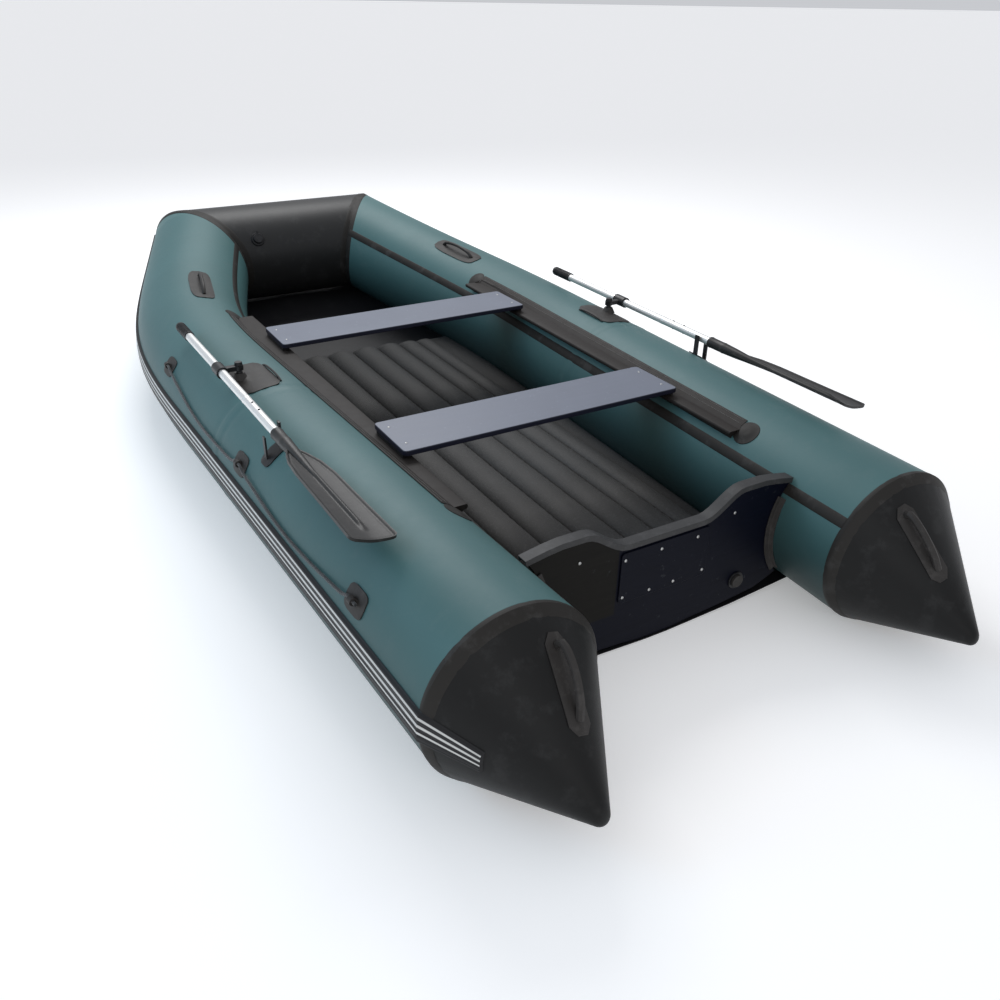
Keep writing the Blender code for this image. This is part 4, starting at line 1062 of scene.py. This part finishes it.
def transomScrews():
    aft = Vector((0, -1, 0))
    places = [(Vector((x, transom["plateY"], z)), aft) for x, z in transom["plateScrews"]]
    return places + [(Vector((x, transom["boardY"], z)), aft) for x, z in transom["boardScrews"]]


head = turnedThing("screw_head", screw["profile"], screw["sides"], screw["bottomOfSlot"])
scattered("transom_screws", transomScrews(), head, screw["transomR"], finish["screw"], "root")


def benchScrews(which):
    low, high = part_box("bench_seat_" + which)
    places = []
    for sign in (-1, 1):
        for y in (low.y + screw["fromBenchSide"], high.y - screw["fromBenchSide"]):
            x = sign * (high.x - screw["fromBenchEnd"])
            places.append((Vector((x, y, high.z)), Vector((0, 0, 1))))
    return places


for which in ("fore", "aft"):
    scattered("bench_screws_" + which, benchScrews(which), head, screw["benchR"], finish["screw"],
              "bench_" + which)
bpy.data.objects.remove(head, do_unlink=True)
print("screws set")


stitching = {
    "spacing": 0.0065,
    "half": 0.0025,
    "slimness": 0.30,
    "angles": (119.4, 123.2),
    "height": 0.0029,
    "margin": 0.01,
}


def stitchShape():
    # one stitch, longest along its own z
    slim = Matrix.Diagonal((stitching["slimness"], stitching["slimness"], 1.0, 1))
    bm = bmesh.new()
    bmesh.ops.create_uvsphere(bm, u_segments=8, v_segments=6, radius=1.0, matrix=slim)
    return meshOf("stitch", bm)


def railStitches(label, sign):
    count = int((railFore - rail["aft"] - 2 * stitching["margin"]) / stitching["spacing"])
    places = []
    for angle in stitching["angles"]:
        for k in range(count):
            y = rail["aft"] + stitching["margin"] + k * stitching["spacing"]
            seat = onTube(y, angle, stitching["height"])
            places.append((flipped(seat, sign), flipped(axisAt(y)[1], sign)))
    return scattered("rail_stitches_" + label, places, stitch, stitching["half"], finish["thread"],
                     "root")


stitch = stitchShape()
for label, sign in side.items():
    railStitches(label, sign)
bpy.data.objects.remove(stitch, do_unlink=True)
print("rails stitched")


# moulded and cut pieces from the solids, with eased corners
easedPieces = [
    ("transom_board", "transom", 0.0016), ("transom_trim", "trim", 0.0008),
    ("motor_plate", "transom", 0.0010), ("drain_body", "plastic", 0.0008),
    ("drain_plug", "rubber", 0.0012), ("keel_strip", "rubber", 0.0006),
    ("bench_seat_fore", "bench", 0.0024), ("bench_seat_aft", "bench", 0.0024),
    ("valve_body", "plastic", 0.0008), ("valve_cap", "plastic", 0.0008), ("valve_plunger", "trim", 0.0004),
]
for label in side:
    easedPieces += [
        ("transom_holder_" + label, "rubber", 0.0010), ("rowlock_base_" + label, "rubber", 0.0007),
        ("rowlock_pin_" + label, "plastic", 0.0006), ("oar_clip_" + label, "plastic", 0.0008),
        ("carry_handle_" + label, "rubber", 0.0007), ("cone_handle_" + label, "rubber", 0.0007),
        ("oar_collar_" + label, "plastic", 0.0008), ("line_eye_fore_" + label, "rubber", 0.0006),
        ("line_eye_middle_" + label, "rubber", 0.0006), ("line_eye_aft_" + label, "rubber", 0.0006),
        ("seat_slider_fore_" + label, "plastic", 0.0010), ("seat_slider_aft_" + label, "plastic", 0.0010),
    ]
for node, kind, edge in easedPieces:
    softened(node, finish[kind], edge)
for node, kind in (("bottom_skin", "bottom"), ("floor_webs", "inner"), ("inner_baffle_port", "inner"),
                   ("inner_baffle_starboard", "inner")):
    repainted(node, finish[kind])
print("fittings eased")


# oars
oar = {
    "pin": (0.675, -0.098, 0.429),
    "rise": 0.016,
    "out": 0.055,
    "splay": 0.020,
    "shaftR": 0.013,
    "swage": 0.0006,
    "swageY": (-0.352, -0.350, -0.342, -0.340),      # where the two halves of the shaft join
    "buttonY": (-0.40, -0.455),
    "buttonR": 0.0030,
    "gripY": 0.352,
    "gripLength": 0.115,
    "gripRings": 22,
    "socketY": -0.590,
    "socket": ((0.0, 0.0140), (0.001, 0.0172), (0.006, 0.0180), (0.010, 0.0170), (0.060, 0.0168),
               (0.066, 0.0176), (0.072, 0.0168), (0.12, 0.0150), (0.17, 0.0120), (0.24, 0.0085),
               (0.32, 0.0055), (0.36, 0.0030)),      # distance past socketY and radius
}
blade = {
    "tilts": {"starboard": 15.0, "port": -13.0},
    "dish": 0.008,
    "half": ((0.115, 0.017), (0.150, 0.030), (0.200, 0.043), (0.270, 0.049), (0.360, 0.050),
             (0.450, 0.0515), (0.540, 0.0535), (0.590, 0.0545)),      # distance past socketY and half width
    "thick": 0.0017,
    "tipRound": 0.012,
    "rim": 0.0024,
    "line": 0.0008,
    "spine": 0.0068,
    "knob": 0.0022,
    "knobAt": 0.535,
    "points": 41,
}
oarDirection = Vector((oar["splay"], 1.0, 0.0)).normalized()
shaftPoint = Vector(oar["pin"]) + Vector((oar["out"], 0, oar["rise"]))


def alongOar(y, up=0.0, out=0.0, tilt=0.0):
    point = shaftPoint + oarDirection * ((y - shaftPoint.y) / oarDirection.y)
    a = math.radians(tilt)
    return point + out * Vector((math.cos(a), 0, -math.sin(a))) + up * Vector((math.sin(a), 0, math.cos(a)))


def turnedOnOar(name, profile, sign, material, sides=32):
    # profile is (y, radius) pairs along the shaft
    rows = []
    for y, radius in profile:
        row = []
        for k in range(sides):
            a = 2 * math.pi * k / sides
            row.append(flipped(alongOar(y, radius * math.sin(a), radius * math.cos(a)), sign))
        rows.append(row)
    return gridPiece(name, rows, material, True, ends=True, sharp=35.0)


def oarShaft(label, sign):
    fore, aft, r = oar["gripY"] - 0.112, oar["socketY"] - 0.002, oar["shaftR"]
    profile = [(aft, r - 0.0002), (aft + 0.001, r)]
    profile += [(y, r) for y in span(aft + 0.01, -0.36, 8)]
    profile += [(y, r + rise) for y, rise in zip(oar["swageY"], (0, oar["swage"], oar["swage"], 0))]
    profile += [(y, r) for y in span(-0.33, fore - 0.01, 12)] + [(fore, r)]
    return turnedOnOar("oar_tube_" + label, profile, sign, finish["aluminium"])


def oarGrip(label, sign):
    start = oar["gripY"] - oar["gripLength"]
    profile = [(start, 0.0142), (start + 0.0015, 0.0163)]
    for k in range(oar["gripRings"]):
        y = start + 0.006 + 0.0045 * k
        profile += [(y, 0.0165), (y + 0.0014, 0.0165), (y + 0.0020, 0.0153), (y + 0.0036, 0.0153)]
    profile += [(oar["gripY"] - 0.006, 0.0165), (oar["gripY"] - 0.002, 0.0155), (oar["gripY"], 0.0120)]
    return turnedOnOar("oar_handgrip_" + label, profile, sign, finish["plastic"])


def halfWidth(distance):
    table = blade["half"]
    for (d0, h0), (d1, h1) in zip(table, table[1:]):
        if distance <= d1:
            share = smoothStep(distance, d0, d1) * 0.35 + (distance - d0) / (d1 - d0) * 0.65
            return h0 + (h1 - h0) * share
    return table[-1][1]


def bladeSheet(label, sign):
    # a thin dished blade: raised rim, a moulded line inside it and a stiffening spine with a knob
    count, thick, tipRound = blade["points"], blade["thick"], blade["tipRound"]
    tilt = blade["tilts"][label]
    root, tip = blade["half"][0][0], blade["half"][-1][0]
    rows = []
    for distance in span(root, tip - 0.03, 60) + span(tip - 0.029, tip, 16):
        half = halfWidth(distance)
        if distance > tip - tipRound:
            half -= tipRound * (1 - math.sqrt(max(0.0, 1 - ((distance - tip + tipRound) / tipRound) ** 2)))
        y = oar["socketY"] - distance
        upper, lower = [], []
        for k in range(count):
            u = -1 + 2 * k / (count - 1)
            fromEdge = min((1 - abs(u)) * half, tip - distance)
            dish = blade["dish"] * (half / blade["half"][-1][1]) ** 2 * abs(u) ** 1.7
            rim = blade["rim"] * (1 - smoothStep(fromEdge, 0.0035, 0.0060))
            line = -blade["line"] * math.exp(-((fromEdge - 0.0085) / 0.0012) ** 2)
            spineEnd = 1 - smoothStep(distance, 0.500, 0.545)
            spine = blade["spine"] * math.exp(-(u * half / 0.0052) ** 4) * spineEnd
            fromKnob = (u * half) ** 2 + (distance - blade["knobAt"]) ** 2
            knob = blade["knob"] * math.exp(-fromKnob / 0.00005)
            upper.append(alongOar(y, dish + thick + rim + line + spine + knob, u * half, tilt))
            lower.append(alongOar(y, dish - thick - rim * 0.5 - line - spine * 0.7, u * half, tilt))
        rows.append([flipped(p, sign) for p in upper + lower[::-1]])
    return gridPiece("oar_blade_sheet_" + label, rows, finish["blade"], True, ends=True, sharp=50.0)


def bladeSocket(label, sign):
    profile = [(oar["socketY"] - past, radius) for past, radius in oar["socket"]]
    return turnedOnOar("oar_blade_socket_" + label, profile, sign, finish["blade"], 28)


def shaftButtons(label, sign):
    # spring buttons that lock the two halves of the shaft
    places = []
    for y in oar["buttonY"]:
        for up in (1, -1):
            places.append((flipped(alongOar(y, up * oar["shaftR"]), sign),
                           flipped(alongOar(y, up) - alongOar(y), sign)))
    button = turnedThing("button", ((1.0, -0.2), (1.0, 0.30), (0.85, 0.60), (0.5, 0.80), (0.2, 0.86)), 16)
    piece = scattered("shaft_buttons_" + label, places, button, oar["buttonR"], finish["plastic"],
                      "oar_" + label)
    bpy.data.objects.remove(button, do_unlink=True)
    return piece


for label, sign in side.items():
    body = "oar_" + label
    finished(oarShaft(label, sign), body, "oar_aluminium", "oar_shaft_" + label)
    finished(oarGrip(label, sign), body, "black_plastic", "oar_grip_" + label)
    finished(bladeSheet(label, sign), body, "black_plastic", "oar_blade_" + label)
    finished(bladeSocket(label, sign), body, "black_plastic")
    shaftButtons(label, sign)
print("oars made")


# grab line: three twisted strands through the eyes
line = {
    "radius": 0.0040,
    "lift": 0.0120,
    "pitch": 0.030,
    "stations": ((0.308, 36.0), (-0.435, 28.0), (-1.165, 28.0)),      # y and angle of each eye
    "throughEye": 0.020,
    "besideEye": 0.085,
    "besideLift": 0.0070,
    "sagAngle": 9,
    "sagLift": 0.0056,
}


def smoothPoints(points, count):
    ends = [2 * points[0] - points[1], *points, 2 * points[-1] - points[-2]]
    spans = len(points) - 1
    result = []
    for k in range(count):
        place = spans * k / (count - 1)
        i = min(int(place), spans - 1)
        t = place - i
        a, b, c, d = ends[i:i + 4]
        result.append(0.5 * (2 * b + (c - a) * t + (2 * a - 5 * b + 4 * c - d) * t * t
                             + (3 * b - a - 3 * c + d) * t ** 3))
    return result


def grabRoute():
    knots = []
    stations = line["stations"]
    for k, (y, angle) in enumerate(stations):
        steps = (line["throughEye"], 0.0, -line["throughEye"])
        knots += [onTube(y + step, angle, line["lift"]) for step in steps]
        if k + 1 < len(stations):
            nextY, nextAngle = stations[k + 1]
            middleAngle = (angle + nextAngle) / 2 - line["sagAngle"]
            knots.append(onTube(y - line["besideEye"], angle - 4, line["besideLift"]))
            knots.append(onTube((y + nextY) / 2, middleAngle, line["sagLift"]))
            knots.append(onTube(nextY + line["besideEye"], nextAngle - 4, line["besideLift"]))
    return smoothPoints(knots, 420)


def grabLine(label, sign):
    route = grabRoute()
    rows = []
    run = 0.0
    for i, point in enumerate(route):
        before, after = route[max(i - 1, 0)], route[min(i + 1, len(route) - 1)]
        ahead = (after - before).normalized()
        outward = point - axisAt(point.y)[0]
        outward = (outward - outward.dot(ahead) * ahead).normalized()
        across = ahead.cross(outward)
        if i:
            run += (point - route[i - 1]).length
        twist = 2 * math.pi * run / line["pitch"]
        row = []
        for k in range(18):
            a = 2 * math.pi * k / 18
            r = line["radius"] * (0.86 + 0.14 * abs(math.cos(1.5 * (a - twist))))
            row.append(flipped(point + r * (math.cos(a) * outward + math.sin(a) * across), sign))
        rows.append(row)
    return gridPiece("grab_rope_" + label, rows, finish["rope"], True, ends=True, sharp=75.0)


for label, sign in side.items():
    finished(grabLine(label, sign), "root", "rope_dark", "grab_line_" + label)
print("grab lines laid")
